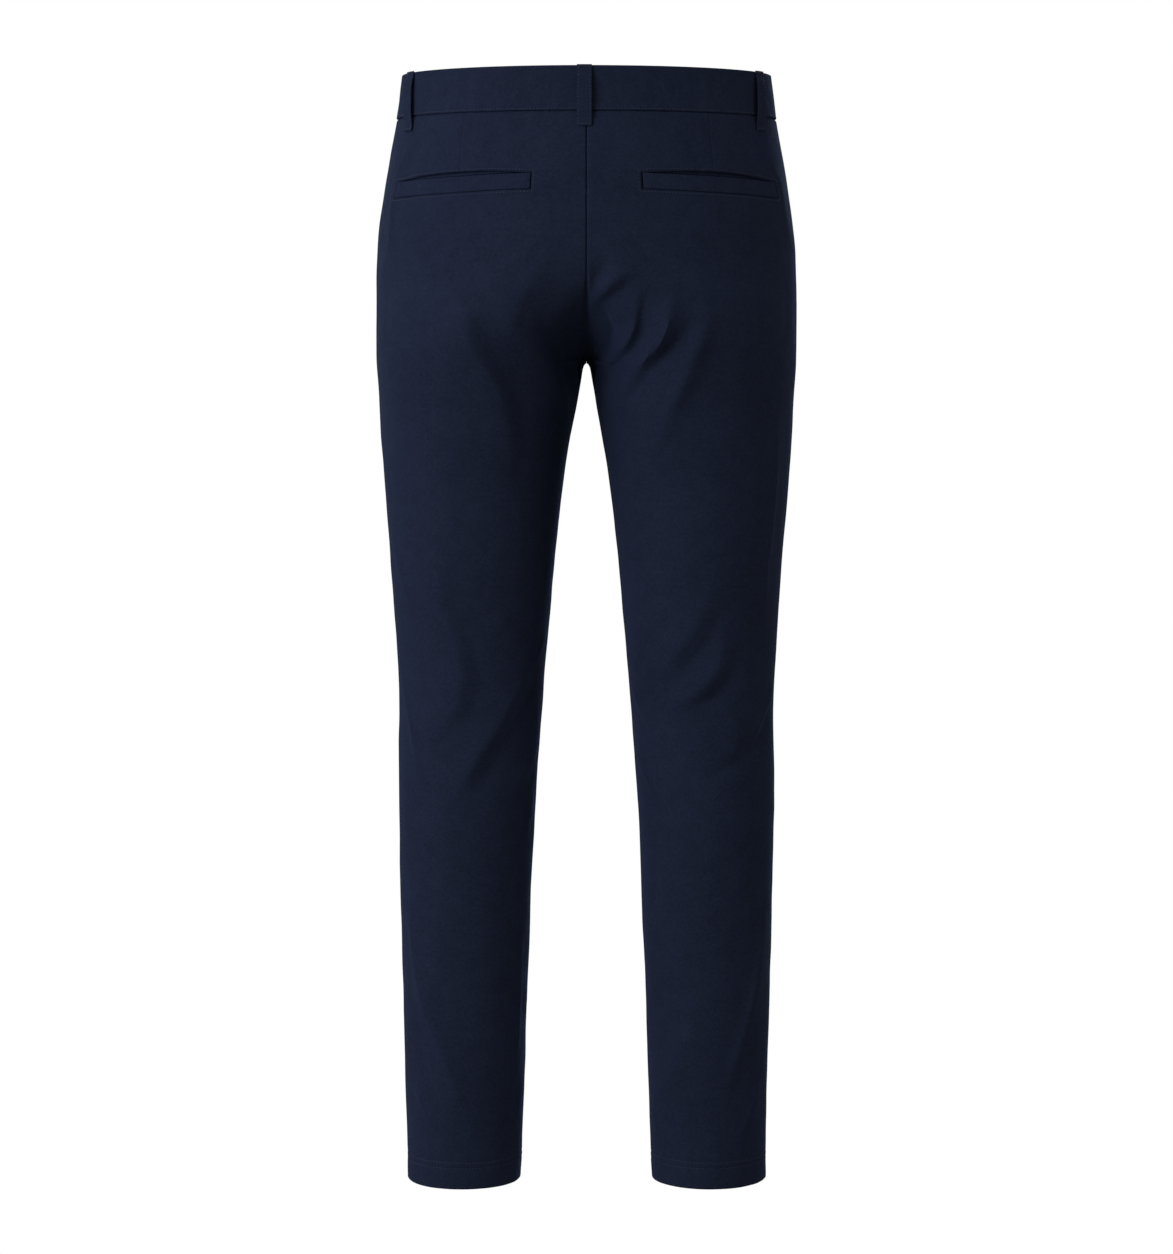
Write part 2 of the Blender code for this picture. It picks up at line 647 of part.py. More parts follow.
def frame_at(arc, height, out):
    """A frame on the left half, moved out of it: its Z points outward, its Y upward."""
    place = np.array([float(arc)]), np.array([float(height)])
    origin = Vector((surface(*place) + outward(*place) * out)[0] * MM)
    z_axis = Vector(outward(*place)[0])
    x_axis = Vector((0, 0, 1)).cross(z_axis).normalized()
    y_axis = z_axis.cross(x_axis)
    return Matrix.Translation(origin) @ Matrix((x_axis, y_axis, z_axis)).transposed().to_4x4()


def zip_slider(name):
    """Slider body and pull tab, cut from one outline, between the tape and the fly."""
    curve = bpy.data.curves.new(name, "CURVE")
    curve.dimensions = "2D"
    curve.fill_mode = "BOTH"
    curve.extrude = SLIDER_THICK / 2 * MM
    spline = curve.splines.new("POLY")
    spline.points.add(len(SLIDER_OUTLINE) - 1)
    for point, corner in zip(spline.points, SLIDER_OUTLINE):
        point.co = (corner.x * MM, corner.y * MM, 0, 1)
    spline.use_cyclic_u = True
    arc = SLIDER_FROM_CENTRE - reach("front", SLIDER_HEIGHT)[0]
    placed(name, curve, METAL_MATERIAL, frame_at(arc, SLIDER_HEIGHT, -CLOTH / 2))


def waist_button(name):
    """A turned button on the end of the left waistband."""
    mesh = bpy.data.meshes.new(name)
    profile = [(turn.radius * MM, 0, turn.height * MM) for turn in BUTTON_PROFILE]
    mesh.from_pydata(profile, [(k, k + 1) for k in range(len(profile) - 1)], [])
    on_band = BAND_PROUD + BAND_THICK + 2 * LAYER_GAP
    arc = -reach("front", BUTTON_HEIGHT)[0] - BUTTON_FROM_CENTRE
    obj = placed(name, mesh, BUTTON_MATERIAL, frame_at(arc, BUTTON_HEIGHT, on_band))
    turned = obj.modifiers.new("Turned", "SCREW")
    turned.axis = "Z"
    turned.steps = turned.render_steps = BUTTON_STEPS
    turned.use_merge_vertices = True
    turned.merge_threshold = 0.00001


# ---------------------------------------------------------------- build
for old in list(bpy.data.objects):
    bpy.data.objects.remove(old)

TROUSERS = bpy.data.collections.new("Chino trousers")
bpy.context.scene.collection.children.link(TROUSERS)

CLOTH_MATERIAL = principled("Navy twill", (0.0095, 0.0125, 0.026), 0.85)
TAPE_MATERIAL = principled("Zip tape", (0.008, 0.010, 0.020), 0.8)
METAL_MATERIAL = principled("Zip metal", (0.42, 0.40, 0.36), 0.35, 1.0)
BUTTON_MATERIAL = principled("Navy button", (0.012, 0.015, 0.030), 0.4)

for half, sign in (("left", LEFT), ("right", RIGHT)):
    back_panel("back_" + half, sign)
    front_panel("front_" + half, sign)
    waistband("waistband_" + half, sign)
    back_welt("back_welt_" + half, sign)
    back_facing("back_facing_" + half, sign)
    front_facing("front_facing_" + half, sign)

for belt_loop_row in LOOPS:
    belt_loop(belt_loop_row)

fly_zip("fly_zip")
zip_slider("zip_slider")
waist_button("waist_button")
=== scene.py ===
"""Looks of the chino trousers: thin cloth shells with their creases, seams, stitching and trims,
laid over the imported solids, on a plain white stage.

+Z is up, the front faces -Y and the wearer's left is +X.  Sizes are in millimetres until a
mesh is made.  A point of the cloth is named by its arc (the run round the body from the side
seam, + to the back and - to the front) and its height.
"""

import math
from collections import namedtuple

import bpy
import numpy as np
from mathutils import Matrix, Vector, noise


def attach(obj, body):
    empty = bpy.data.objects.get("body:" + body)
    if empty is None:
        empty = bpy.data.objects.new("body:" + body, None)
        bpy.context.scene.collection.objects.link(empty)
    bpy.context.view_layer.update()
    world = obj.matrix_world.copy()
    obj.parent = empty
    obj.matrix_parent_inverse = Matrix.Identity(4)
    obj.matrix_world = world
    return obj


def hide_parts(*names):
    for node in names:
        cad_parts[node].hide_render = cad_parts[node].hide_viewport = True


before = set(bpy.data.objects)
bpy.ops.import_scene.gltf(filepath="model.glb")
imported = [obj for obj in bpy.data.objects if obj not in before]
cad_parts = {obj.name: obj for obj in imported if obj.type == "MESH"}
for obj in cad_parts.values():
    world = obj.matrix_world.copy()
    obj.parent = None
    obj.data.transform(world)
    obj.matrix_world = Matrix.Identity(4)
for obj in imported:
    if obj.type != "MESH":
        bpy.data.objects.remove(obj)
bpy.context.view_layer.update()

MM = 0.001
LEFT, RIGHT = 1, -1

# ---------------------------------------------------------------- sizes shared with the solids
# Heights count up from 0 in the middle of the waistband.
CLOTH, SEAM_GAP, LAYER_GAP = 1.8, 0.3, 0.35
WAIST_TOP, WAIST_SEAM, CROTCH, HEM = 20.0, -20.0, -245.0, -1015.0
WAIST_LEAN = 0.03
# The body starts to part into the legs at CLEFT_TOP, and is two whole legs from the crotch down.
CLEFT_TOP = {"back": -142.0, "front": -172.0}
FORK_SLOPE, FORK_BOTTOM, FORK_PULL, INSEAM_ROUNDING = 0.12, -290.0, 6, 2.0
BAND_PROUD, BAND_THICK, BAND_LAP = 0.5, 2.4, 28.0
LAP_OUT = BAND_PROUD + BAND_THICK + LAYER_GAP
POCKET_TOP, POCKET_HEIGHT = -75.5, 14.5
POCKET_BOTTOM = POCKET_TOP - POCKET_HEIGHT
POCKET_FROM_SIDE, POCKET_WIDTH, POCKET_DROP = 54.5, 146.5, 5.0
LIP_BOW, FACING_OUT = 4.2, -2.25
SLANT_TOP, SLANT_BOTTOM = 48.0, -185.0
FLY_LAP, FLY_STRAIGHT, FLY_CLOSED, FLY_END = 8.0, -126.0, -137.0, -151.0
FLY_RAMP, FLY_FLAT = 46.0, 18.0
LOOP_WIDTH, LOOP_THICK = 13.0, 1.5
BUTTON_FROM_CENTRE, BUTTON_HEIGHT = 15.0, 1.0

Section = namedtuple("Section", "height half_width inseam_x front_y side_y back_y power")
SECTIONS = [Section(*row) for row in (
    (-1015, 169.4, 62.6, -50, 3.5, 57, 1.0),
    (-923, 171.0, 58.6, -51, 5, 60.5, 0.99),
    (-846, 172.5, 56.1, -52, 6, 65, 0.98),
    (-770, 174.1, 53.2, -54.5, 7.5, 70, 0.97),
    (-693, 175.6, 50.2, -58, 7, 73.5, 0.97),
    (-617, 175.8, 45.6, -64.5, 3, 71.5, 0.97),
    (-560, 175.5, 41.2, -70.5, 1, 71.5, 0.97),
    (-504, 178.1, 36.4, -77, 0, 76, 0.96),
    (-447, 181.8, 31.8, -85, -1, 82.5, 0.96),
    (-372, 187.2, 23.8, -95, -2, 91, 0.95),
    (-316, 191.3, 15.4, -103, -1.5, 99, 0.94),
    (-279, 193.2, 8.9, -108, -1, 106, 0.93),
    (-245, 195.2, 3.2, -113, 0, 117, 0.92),
    (-205, 195.5, 1.9, -118, 0, 130, 0.91),
    (-168, 195.1, 1.9, -121, 0, 137, 0.9),
    (-131, 193.0, 1.9, -121.5, 0, 136.5, 0.91),
    (-94, 188.3, 1.9, -120, 0, 131, 0.93),
    (-57, 182.1, 1.9, -117, 0, 123, 0.96),
    (-20, 175.4, 1.9, -113, 0, 115, 0.99),
    (20, 170.2, 1.9, -110, 0, 113, 1.0),
)]

# ---------------------------------------------------------------- creases
# A row for each crease: how far it stands out (or sinks in, where negative), its half width on
# the side towards its left and towards its right, seen along its run from outside, and the
# points it runs through, as distance from the centre plane and height.
Crease = namedtuple("Crease", "side face lift left right points")
CREASES = []


def add_creases(side, face, rows):
    CREASES.extend(Crease(side, face, *row[:3], row[3:]) for row in rows)


add_creases(LEFT, "back", (
    # seat
    (9.5, 9, 30, (112, -190), (106, -203), (104, -218), (95, -236), (84, -256), (76, -280),
     (68, -324)),
    (-2.0, 24, 8, (92, -210), (87, -231), (76, -253), (67, -275), (60, -299), (54, -326)),
    (6.6, 9, 26, (42, -165), (56, -183), (64, -201), (62, -214), (51, -227), (37, -241),
     (28, -255), (22, -274), (17, -297)),
    (-2.4, 18, 9, (24, -172), (36, -192), (38, -214), (26, -236), (15, -258), (9, -282)),
    (-1.5, 4, 5, (50, -218), (28, -220), (10, -229)),
    # back of the knee
    (4.8, 10, 26, (133, -434), (131, -460), (125, -483), (118, -508), (114, -532), (116, -556),
     (128, -573), (141, -586)),
    (-1.4, 18, 9, (122, -446), (112, -478), (103, -508), (98, -536), (106, -562), (122, -582),
     (136, -598)),
    (1.4, 5, 8, (180, -398), (172, -434), (161, -471)),
    (2.8, 4, 6, (174, -522), (168, -550), (162, -577), (157, -604), (154, -630)),
    (6.6, 8, 22, (52, -520), (61, -540), (72, -560), (84, -581), (97, -601), (109, -623),
     (120, -642)),
    (-2.4, 12, 6, (47, -540), (58, -561), (72, -586), (84, -608), (95, -628), (104, -645)),
    (1.6, 4.5, 5, (37, -493), (42, -508), (48, -522)),
    (2.4, 5, 6, (42, -594), (52, -612), (61, -627), (68, -641)),
    (-2.0, 5, 5, (38, -604), (47, -622), (56, -640)),
    (1.5, 5, 5, (71, -475), (80, -485), (89, -492)),
    (1.6, 5, 5, (50, -656), (54, -670), (56, -684)),
    # calf
    (6.8, 24, 10, (163, -752), (158, -793), (151, -830), (140, -866), (127, -903), (119, -930)),
    (-2.4, 9, 9, (158, -868), (150, -903), (137, -941)),
    (3.0, 14, 7, (159, -912), (152, -939), (142, -964)),
    (2.4, 5, 5, (61, -768), (63, -822), (65, -870), (67, -908)),
    (0.9, 4, 4, (61, -890), (68, -912), (75, -928)),
    (0.9, 4, 4, (61, -931), (66, -951), (70, -963)),
    # waistband and just under it
    (-0.8, 1.3, 1.3, (123, 12), (115, 4), (106, -5)),
    (-0.6, 1.3, 1.3, (144, 14), (141, 7), (139, 1)),
    (-0.8, 1.6, 1.6, (129, -24), (126, -29), (122, -34)),
    # hips
    (1.4, 7, 8, (163, -49), (176, -85), (180, -134), (190, -178)),
))
add_creases(RIGHT, "back", (
    # seat
    (-4.2, 5, 6, (4, -186), (10, -168), (17, -153)),
    (5.6, 5, 8, (6, -193), (15, -182), (27, -170), (40, -161)),
    (-3.0, 6, 5, (7, -200), (16, -188), (28, -178), (40, -171)),
    (1.8, 5, 6, (9, -214), (18, -209), (29, -202), (37, -194)),
    (-5.6, 10, 10, (11, -237), (16, -229), (19, -219), (16, -208), (10, -197)),
    (5.2, 5, 9, (4, -264), (12, -250), (24, -237), (36, -226), (43, -212), (44, -199), (47, -183)),
    (-2.6, 12, 5, (10, -260), (20, -249), (31, -240), (41, -229), (48, -216), (49, -202),
     (52, -188)),
    (9.4, 8, 9, (39, -259), (55, -238), (64, -227), (71, -213), (74, -199), (76, -184)),
    (-4.6, 8, 6, (34, -281), (46, -264), (57, -249), (68, -236), (79, -223), (90, -212),
     (99, -205)),
    (8.2, 10, 19, (66, -316), (75, -294), (83, -274), (91, -255), (98, -236), (105, -219),
     (111, -198)),
    # back of the knee
    (4.2, 17, 12, (114, -452), (106, -474), (97, -491), (86, -505), (76, -519), (69, -530)),
    (-2.3, 7, 11, (127, -460), (119, -482), (108, -503), (96, -518), (85, -530), (75, -537)),
    (5.0, 12, 9, (128, -498), (123, -520), (114, -534), (105, -544), (94, -551), (84, -555)),
    (-4.2, 6, 9, (139, -510), (133, -530), (122, -545), (110, -554), (97, -558)),
    (3.0, 3.5, 5, (175, -543), (167, -560), (160, -576), (152, -598)),
    (-3.0, 8, 7, (170, -566), (162, -590), (150, -602), (138, -589)),
    (2.6, 12, 8, (126, -556), (138, -576), (139, -596), (130, -613)),
    (-2.6, 6, 6, (144, -608), (127, -618), (110, -623)),
    (2.4, 3.5, 4, (43, -546), (52, -567), (65, -588), (74, -603)),
    (1.8, 4.5, 5, (46, -605), (55, -626), (65, -652)),
    # calf
    (5.4, 5, 15, (166, -752), (160, -793), (154, -830), (146, -866), (134, -908)),
    (-2.0, 9, 9, (155, -868), (147, -903), (133, -939)),
    (3.0, 5, 9, (163, -908), (155, -939), (145, -968)),
    (2.8, 12, 18, (107, -824), (96, -866), (79, -903), (66, -934)),
    (0.9, 4, 4, (61, -944), (65, -956), (68, -968)),
    # waistband and just under it
    (-0.6, 1.3, 1.3, (58, 9), (66, 3), (71, -4)),
    # hips
    (1.3, 6, 7, (167, -61), (177, -80), (183, -111), (188, -135)),
    (2.8, 6, 6, (176, -290), (173, -345), (170, -391), (166, -430), (164, -478)),
))
add_creases(LEFT, "front", (
    # waistband and just under it
    (-0.7, 1.3, 1.3, (92, 12), (99, 5), (103, -3)),
    # lap
    (3.8, 8, 12, (14, -208), (48, -191), (90, -178)),
    (-3.0, 8, 8, (18, -231), (56, -214), (98, -203)),
    (3.4, 8, 12, (24, -264), (62, -246), (110, -238)),
    (-1.3, 6, 6, (30, -282), (58, -268), (88, -264)),
    # front of the knee
    (2.6, 8, 9, (56, -506), (92, -529), (136, -534)),
    (-2.6, 8, 8, (54, -537), (90, -561), (140, -566)),
    (2.2, 8, 10, (66, -600), (104, -618), (150, -606)),
    (-1.4, 6, 6, (96, -648), (124, -655), (150, -645)),
    # shin and hem
    (2.2, 8, 9, (160, -812), (128, -862), (90, -884)),
    (1.8, 7, 7, (66, -930), (90, -951), (124, -948)),
))
add_creases(RIGHT, "front", (
    # waistband and just under it
    (-0.8, 1.3, 1.3, (118, 8), (108, 2), (101, -7)),
    # lap
    (3.6, 8, 10, (14, -201), (50, -187), (98, -166)),
    (-3.2, 8, 8, (18, -226), (52, -208), (90, -191)),
    (3.6, 9, 12, (26, -272), (64, -245), (106, -223)),
    (-1.4, 6, 6, (60, -276), (82, -258), (112, -250)),
    # front of the knee
    (2.2, 8, 8, (154, -468), (128, -500), (94, -511)),
    (2.6, 8, 9, (54, -520), (96, -545), (146, -540)),
    (-2.6, 8, 8, (52, -552), (94, -574), (142, -578)),
    (1.6, 7, 7, (70, -622), (98, -634), (134, -626)),
    # shin and hem
    (2.2, 8, 9, (70, -828), (101, -868), (142, -881)),
    (-1.8, 7, 7, (76, -905), (111, -923), (152, -914)),
))

# A row for each belt loop: how far round from the side seam, or from the centre line at the
# back, its middle is at its top and at its bottom.
Loop = namedtuple("Loop", "name side origin top bottom")
LOOPS = (
    Loop("belt_loop_centre_back", LEFT, "centre", -1.9, -1.9),
    Loop("belt_loop_side_left", LEFT, "side", 40.5, 53.0),
    Loop("belt_loop_side_right", RIGHT, "side", 46.5, 58.5),
    Loop("belt_loop_front_left", LEFT, "side", -72.0, -75.0),
    Loop("belt_loop_front_right", RIGHT, "side", -72.0, -75.0),
)

# The belt loops' path, bottom to top: heights, and how far the inside stands off the panels.
LOOP_HEIGHTS = np.array([-34.6, -29.0, -24.0, -17.0, -6.0, 4.0, 11.0, 15.5, 18.5, 20.6])
LOOP_STAND_OFF = np.array([0.45, 0.8, 2.3, 3.4, 3.7, 3.4, 2.4, 1.1, 0.8, 0.75])
LOOP_BOTTOM, LOOP_TOP = LOOP_HEIGHTS[0], LOOP_HEIGHTS[-1]

# ---------------------------------------------------------------- relief, stitches and fineness
# CREST shapes a crease's profile, and within SEAM_FADE of a centre seam creases die out.  The
# seat sinks in along its seam by SEAT_DEPTH, as far round as SEAT_WIDTH.
CREST, SEAM_FADE = 1.25, 5.0
SEAT_TOP, SEAT_BOTTOM, SEAT_DEPTH, SEAT_WIDTH = -105.0, -275.0, 7.5, {LEFT: 50.0, RIGHT: 36.0}
# The cloth's unevenness: how high its waves are, and how long across and down.
WAVES = ((0.9, 46, 80), (0.4, 15, 26))
# The dart's place as a share of the way round, and how far it slants over its height.  The back
# pockets' facings sag open under the bowed lip, with a groove just above the welt.
DART_SHARE, DART_SLANT = 0.526, 0.021
MOUTH_SAG, MOUTH_GROOVE = 2.2, 3.2
SHELL = 1.2
# Beyond a seam the cloth goes on under its neighbour: how far past the seam, and how deep.
UNDERLAP = ((0.35, -1.7), (1.2, -2.0), (8.0, -2.0))
UNDER = len(UNDERLAP)

STITCH, STITCH_PITCH, STITCH_HALF_WIDTH, TACK_PITCH = 1.7, 3.1, 0.24, 0.55
# Stitched rows: heights of the hem's and the band's, and how far off an edge the slanted
# mouths' stand and off the middle a belt loop's.
HEM_ROWS, HEM_PUCKER, BAND_ROW = (HEM + 25.5, HEM + 20.0), HEM + 23.0, WAIST_SEAM + 1.5
SLANT_ROWS, LOOP_ROW = (1.6, 6.2), 4.8

RING_STEPS, PROBE = 161, 1.0
CELL, BAND_CELL = 3.4, 1.7
# Usual widths of a front panel and a waistband half, over which their columns are spaced, and
# the heights between which a panel's rows crowd at the fork.
FRONT_WIDTH, BAND_WIDTH = 226.0, 430.0
FORK_ROWS = (-200.0, -300.0)


# ---------------------------------------------------------------- the body's surface
def smoothstep(value):
    value = np.clip(value, 0.0, 1.0)
    return value * value * (3.0 - 2.0 * value)


def bell(distance, width):
    return np.exp(-(distance / width) ** 2)


def smooth_curve(places, values, at):
    """Values on a smooth curve through the given ones, whose places rise."""
    slopes = np.gradient(values, places, axis=0)
    k = np.clip(np.searchsorted(places, at) - 1, 0, len(places) - 2)
    step = places[k + 1] - places[k]
    t = (at - places[k]) / step
    if values.ndim > 1:
        step, t = step[:, None], t[:, None]
    start = (1 + 2 * t) * (1 - t) ** 2 * values[k] + t * (1 - t) ** 2 * step * slopes[k]
    end = t * t * (3 - 2 * t) * values[k + 1] + t * t * (t - 1) * step * slopes[k + 1]
    return start + end


def column(name, height):
    """One column of SECTIONS at any heights."""
    heights, values = np.array([(row.height, getattr(row, name)) for row in SECTIONS], float).T
    return smooth_curve(heights, values, height)


def inner_edge(height):
    """How far a half stands off the centre plane."""
    below = np.maximum(CROTCH - height, 0.0)
    inseam = column("inseam_x", height)
    rounded = inseam - (inseam - SEAM_GAP / 2) * np.exp(-below / INSEAM_ROUNDING)
    return np.where(below > 0, rounded, SEAM_GAP / 2)


def cleft(face, height):
    """0 where the two halves make one round body, rising to 1 where each is a whole leg."""
    down = np.clip((CLEFT_TOP[face] - height) / (CLEFT_TOP[face] - CROTCH), 0.0, 1.0)
    return down * down * ((3 - FORK_SLOPE) - (2 - FORK_SLOPE) * down)


def lean(height):
    """How far a section tips up towards the back."""
    return WAIST_LEAN * smoothstep((height - CROTCH) / (WAIST_SEAM - CROTCH))


def section_frame(face, height):
    """A half section's middle and half width, the y of its side and its depth from there, its
    power and the angle at which it ends."""
    wrap = cleft(face, height)
    side_x, side_y, power = (column(name, height) for name in ("half_width", "side_y", "power"))
    width = (side_x - inner_edge(height)) / (1 + wrap)
    depth = column(face + "_y", height) - side_y
    return side_x - width, width, side_y, depth, power, math.pi / 2 + np.arcsin(wrap ** (1 / power))


def ring_table(face, heights):
    """Half sections at many heights, each read at even shares of its run: x, y and the run."""
    frame_columns = (value[:, None] for value in section_frame(face, heights))
    middle, width, side_y, depth, power, end_angle = frame_columns
    even = np.linspace(0, 1, RING_STEPS)
    angle = end_angle * even
    cosine = np.cos(angle)
    x = middle + width * np.sign(cosine) * np.abs(cosine) ** power
    y = side_y + depth * np.abs(np.sin(angle)) ** power
    steps = np.hypot(np.diff(x, axis=1), np.diff(y, axis=1))
    run = np.hstack([np.zeros((len(heights), 1)), np.cumsum(steps, axis=1)])
    xs = np.array([np.interp(even * r[-1], r, row) for r, row in zip(run, x)])
    ys = np.array([np.interp(even * r[-1], r, row) for r, row in zip(run, y)])
    return xs, ys, run[:, -1]


TABLE_HEIGHTS = np.unique(np.r_[np.arange(-1030, 30.1, 1.0), np.arange(-290, -200, 0.25)])
RINGS = {face: ring_table(face, TABLE_HEIGHTS) for face in ("back", "front")}


def reach(face, height):
    """The run from the side seam to the centre seam or the inseam."""
    return np.interp(height, TABLE_HEIGHTS, RINGS[face][2])


BUTTON_ARC = -float(reach("front", BUTTON_HEIGHT)) - BUTTON_FROM_CENTRE


def read_ring(face, share, height):
    xs, ys, _ = RINGS[face]
    k = np.clip(np.searchsorted(TABLE_HEIGHTS, height) - 1, 0, len(TABLE_HEIGHTS) - 2)
    v = (height - TABLE_HEIGHTS[k]) / (TABLE_HEIGHTS[k + 1] - TABLE_HEIGHTS[k])
    place = np.clip(share, 0, 1) * (RING_STEPS - 1)
    j = np.minimum(place.astype(int), RING_STEPS - 2)
    u = place - j
    return tuple((grid[k, j] * (1 - u) + grid[k, j + 1] * u) * (1 - v)
                 + (grid[k + 1, j] * (1 - u) + grid[k + 1, j + 1] * u) * v for grid in (xs, ys))


def surface(arc, height):
    """Points of the left half.  Past the centre line an arc goes on into the other half, and
    past the inseam into the other face of the leg."""
    behind = arc >= 0
    ends = {face: reach(face, height) for face in RINGS}
    own = np.where(behind, ends["back"], ends["front"])
    other = np.where(behind, ends["front"], ends["back"])
    over = np.abs(arc) - own
    crosses = (over > 0) & (height > CROTCH)
    wraps = (over > 0) & (height <= CROTCH)
    run = np.where(wraps, other - over, np.where(crosses, own - over, np.abs(arc)))
    back, front = (read_ring(face, run / ends[face], height) for face in ("back", "front"))
    on_back = behind ^ wraps
    x = np.where(on_back, back[0], front[0]) * np.where(crosses, -1, 1)
    y = np.where(on_back, back[1], front[1])
    return np.stack([x, y, height + lean(height) * y], axis=-1)


def outward(arc, height):
    """The surface's unit normals."""
    def own_reach(level):
        return np.where(arc >= 0, reach("back", level), reach("front", level))

    share = arc / own_reach(height)
    along = surface(arc + PROBE, height) - surface(arc - PROBE, height)
    above, below = height + PROBE, height - PROBE
    upward = surface(share * own_reach(above), above) - surface(share * own_reach(below), below)
    normal = np.cross(along, upward)
    return normal / np.linalg.norm(normal, axis=-1, keepdims=True)


def evened(face, share, height):
    """Shares of a section's reach, of which only the ones by the fork follow its quick change."""
    full = reach(face, height)
    stops = np.array([FORK_BOTTOM, CLEFT_TOP[face]])
    inside = (height > FORK_BOTTOM) & (height < CLEFT_TOP[face])
    ratio = np.where(inside, np.interp(height, stops, reach(face, stops)), full) / full
    return share * ratio + share ** FORK_PULL * (1 - ratio), full


# ---------------------------------------------------------------- relief
def on_section(face, x, height):
    """Points of the left half at distances x from the centre plane."""
    middle, width, side_y, depth, power, _ = section_frame(face, height)
    cosine = np.clip((x - middle) / width, -1, 1)
    angle = np.arccos(np.sign(cosine) * np.abs(cosine) ** (1 / power))
    y = side_y + depth * np.sin(angle) ** power
    return np.stack([x, y, height + lean(height) * y], axis=-1)


def crease_line(crease):
    """A smooth line on the surface through a crease's points."""
    count = len(crease.points)
    at = np.linspace(0, count - 1, 5 * count)
    x, height = smooth_curve(np.arange(count), np.array(crease.points, float), at).T
    return on_section(crease.face, x, height)


def crease_lift(crease, points, normals):
    """How far one crease lifts each point."""
    line = crease_line(crease)
    lift = np.zeros(len(points))
    span = 3 * max(crease.left, crease.right)
    near = np.all((points > line.min(axis=0) - span) & (points < line.max(axis=0) + span), axis=1)
    if not near.any():
        return lift
    p = points[near]
    start, step = line[:-1], np.diff(line, axis=0)
    from_start = p[:, None] - start
    t = np.clip((from_start * step).sum(axis=2) / (step * step).sum(axis=1), 0, 1)
    away = from_start - t[:, :, None] * step
    distance = np.linalg.norm(away, axis=2)
    rows, k = np.arange(len(p)), distance.argmin(axis=1)
    share = (k + t[rows, k]) / len(start)
    sideways = np.cross(step[k], normals[near])
    on_right = (sideways * away[rows, k]).sum(axis=1) > 0
    width = np.where(on_right, crease.right, crease.left)
    swell = np.sin(math.pi * (0.06 + 0.88 * share)) ** 0.8
    lift[near] = crease.lift * np.exp(-(distance[rows, k] / width) ** CREST) * swell
    return lift


def seat_sink(points, side):
    """The seat sinks in along its seam, down to the crotch, further round on the left."""
    x, y, z = points.T
    down = smoothstep((SEAT_TOP - z) / 100) * smoothstep((z - SEAT_BOTTOM) / 38)
    return SEAT_DEPTH * np.exp(-(np.abs(x) / SEAT_WIDTH[side]) ** 1.4) * down * (y > 0)


def relief(points, normals, side):
    """Creases of one half, which fade out by the centre seams and where the surface faces
    sideways, and the cloth's unevenness, which is less at the waist."""
    lift = np.zeros(len(points))
    for crease in CREASES:
        if crease.side == side:
            lift += crease_lift(crease, points, normals)
    near_seam = smoothstep((points[:, 2] - CROTCH + 90) / 50)
    fade = smoothstep(np.abs(points[:, 0]) / SEAM_FADE)
    lift *= (1 - near_seam * (1 - fade)) * smoothstep(np.abs(normals[:, 1]) / 0.4)
    lift -= seat_sink(points, side)
    rough = [sum(high * noise.noise(Vector((x * side / across, y / across, z / down)))
                 for high, across, down in WAVES) for x, y, z in points]
    quiet = 1 - 0.7 * smoothstep((points[:, 2] + 60) / 40)
    return lift + np.array(rough) * quiet * np.clip(np.abs(points[:, 0]) / 8, 0.1, 1)


def skin(arc, height, out, side):
    """Points of the cloth in metres, moved out of the body's surface by out."""
    arc, height, out = np.broadcast_arrays(arc, height, out)
    a, h = arc.ravel().astype(float), height.ravel().astype(float)
    points, normals = surface(a, h), outward(a, h)
    moved = points + normals * (relief(points, normals, side) + out.ravel())[:, None]
    return (moved * (side, 1, 1) * MM).reshape(*arc.shape, 3)


# ---------------------------------------------------------------- meshes
def add_object(name, data, location=(0, 0, 0)):
    obj = bpy.data.objects.new(name, data)
    obj.location = location
    bpy.context.scene.collection.objects.link(obj)
    return obj


def mesh_piece(name, verts, faces, uvs, material, sharp):
    """A mesh object with sharp edges over an angle in degrees."""
    mesh = bpy.data.meshes.new(name)
    mesh.from_pydata([tuple(v) for v in verts], [], faces)
    if uvs is not None:
        layer = mesh.uv_layers.new(name="cloth")
        index = np.empty(len(mesh.loops), int)
        mesh.loops.foreach_get("vertex_index", index)
        layer.data.foreach_set("uv", np.asarray(uvs, float)[index].ravel())
    mesh.shade_smooth()
    mesh.set_sharp_from_angle(angle=math.radians(sharp))
    mesh.materials.append(material)
    return add_object(name, mesh)


def cloth_uv(arc, height):
    """A UV map in metres of cloth."""
    return np.stack([arc.ravel() * MM, height.ravel() * MM], axis=1)


def grid_faces(columns, keep, flip, start=0):
    """The kept cells of a grid whose first vertex has the number start."""
    i, j = np.nonzero(keep)
    a = start + i * columns + j
    quads = np.stack([a, a + columns, a + columns + 1, a + 1], axis=1)
    return quads[:, ::-1] if flip else quads


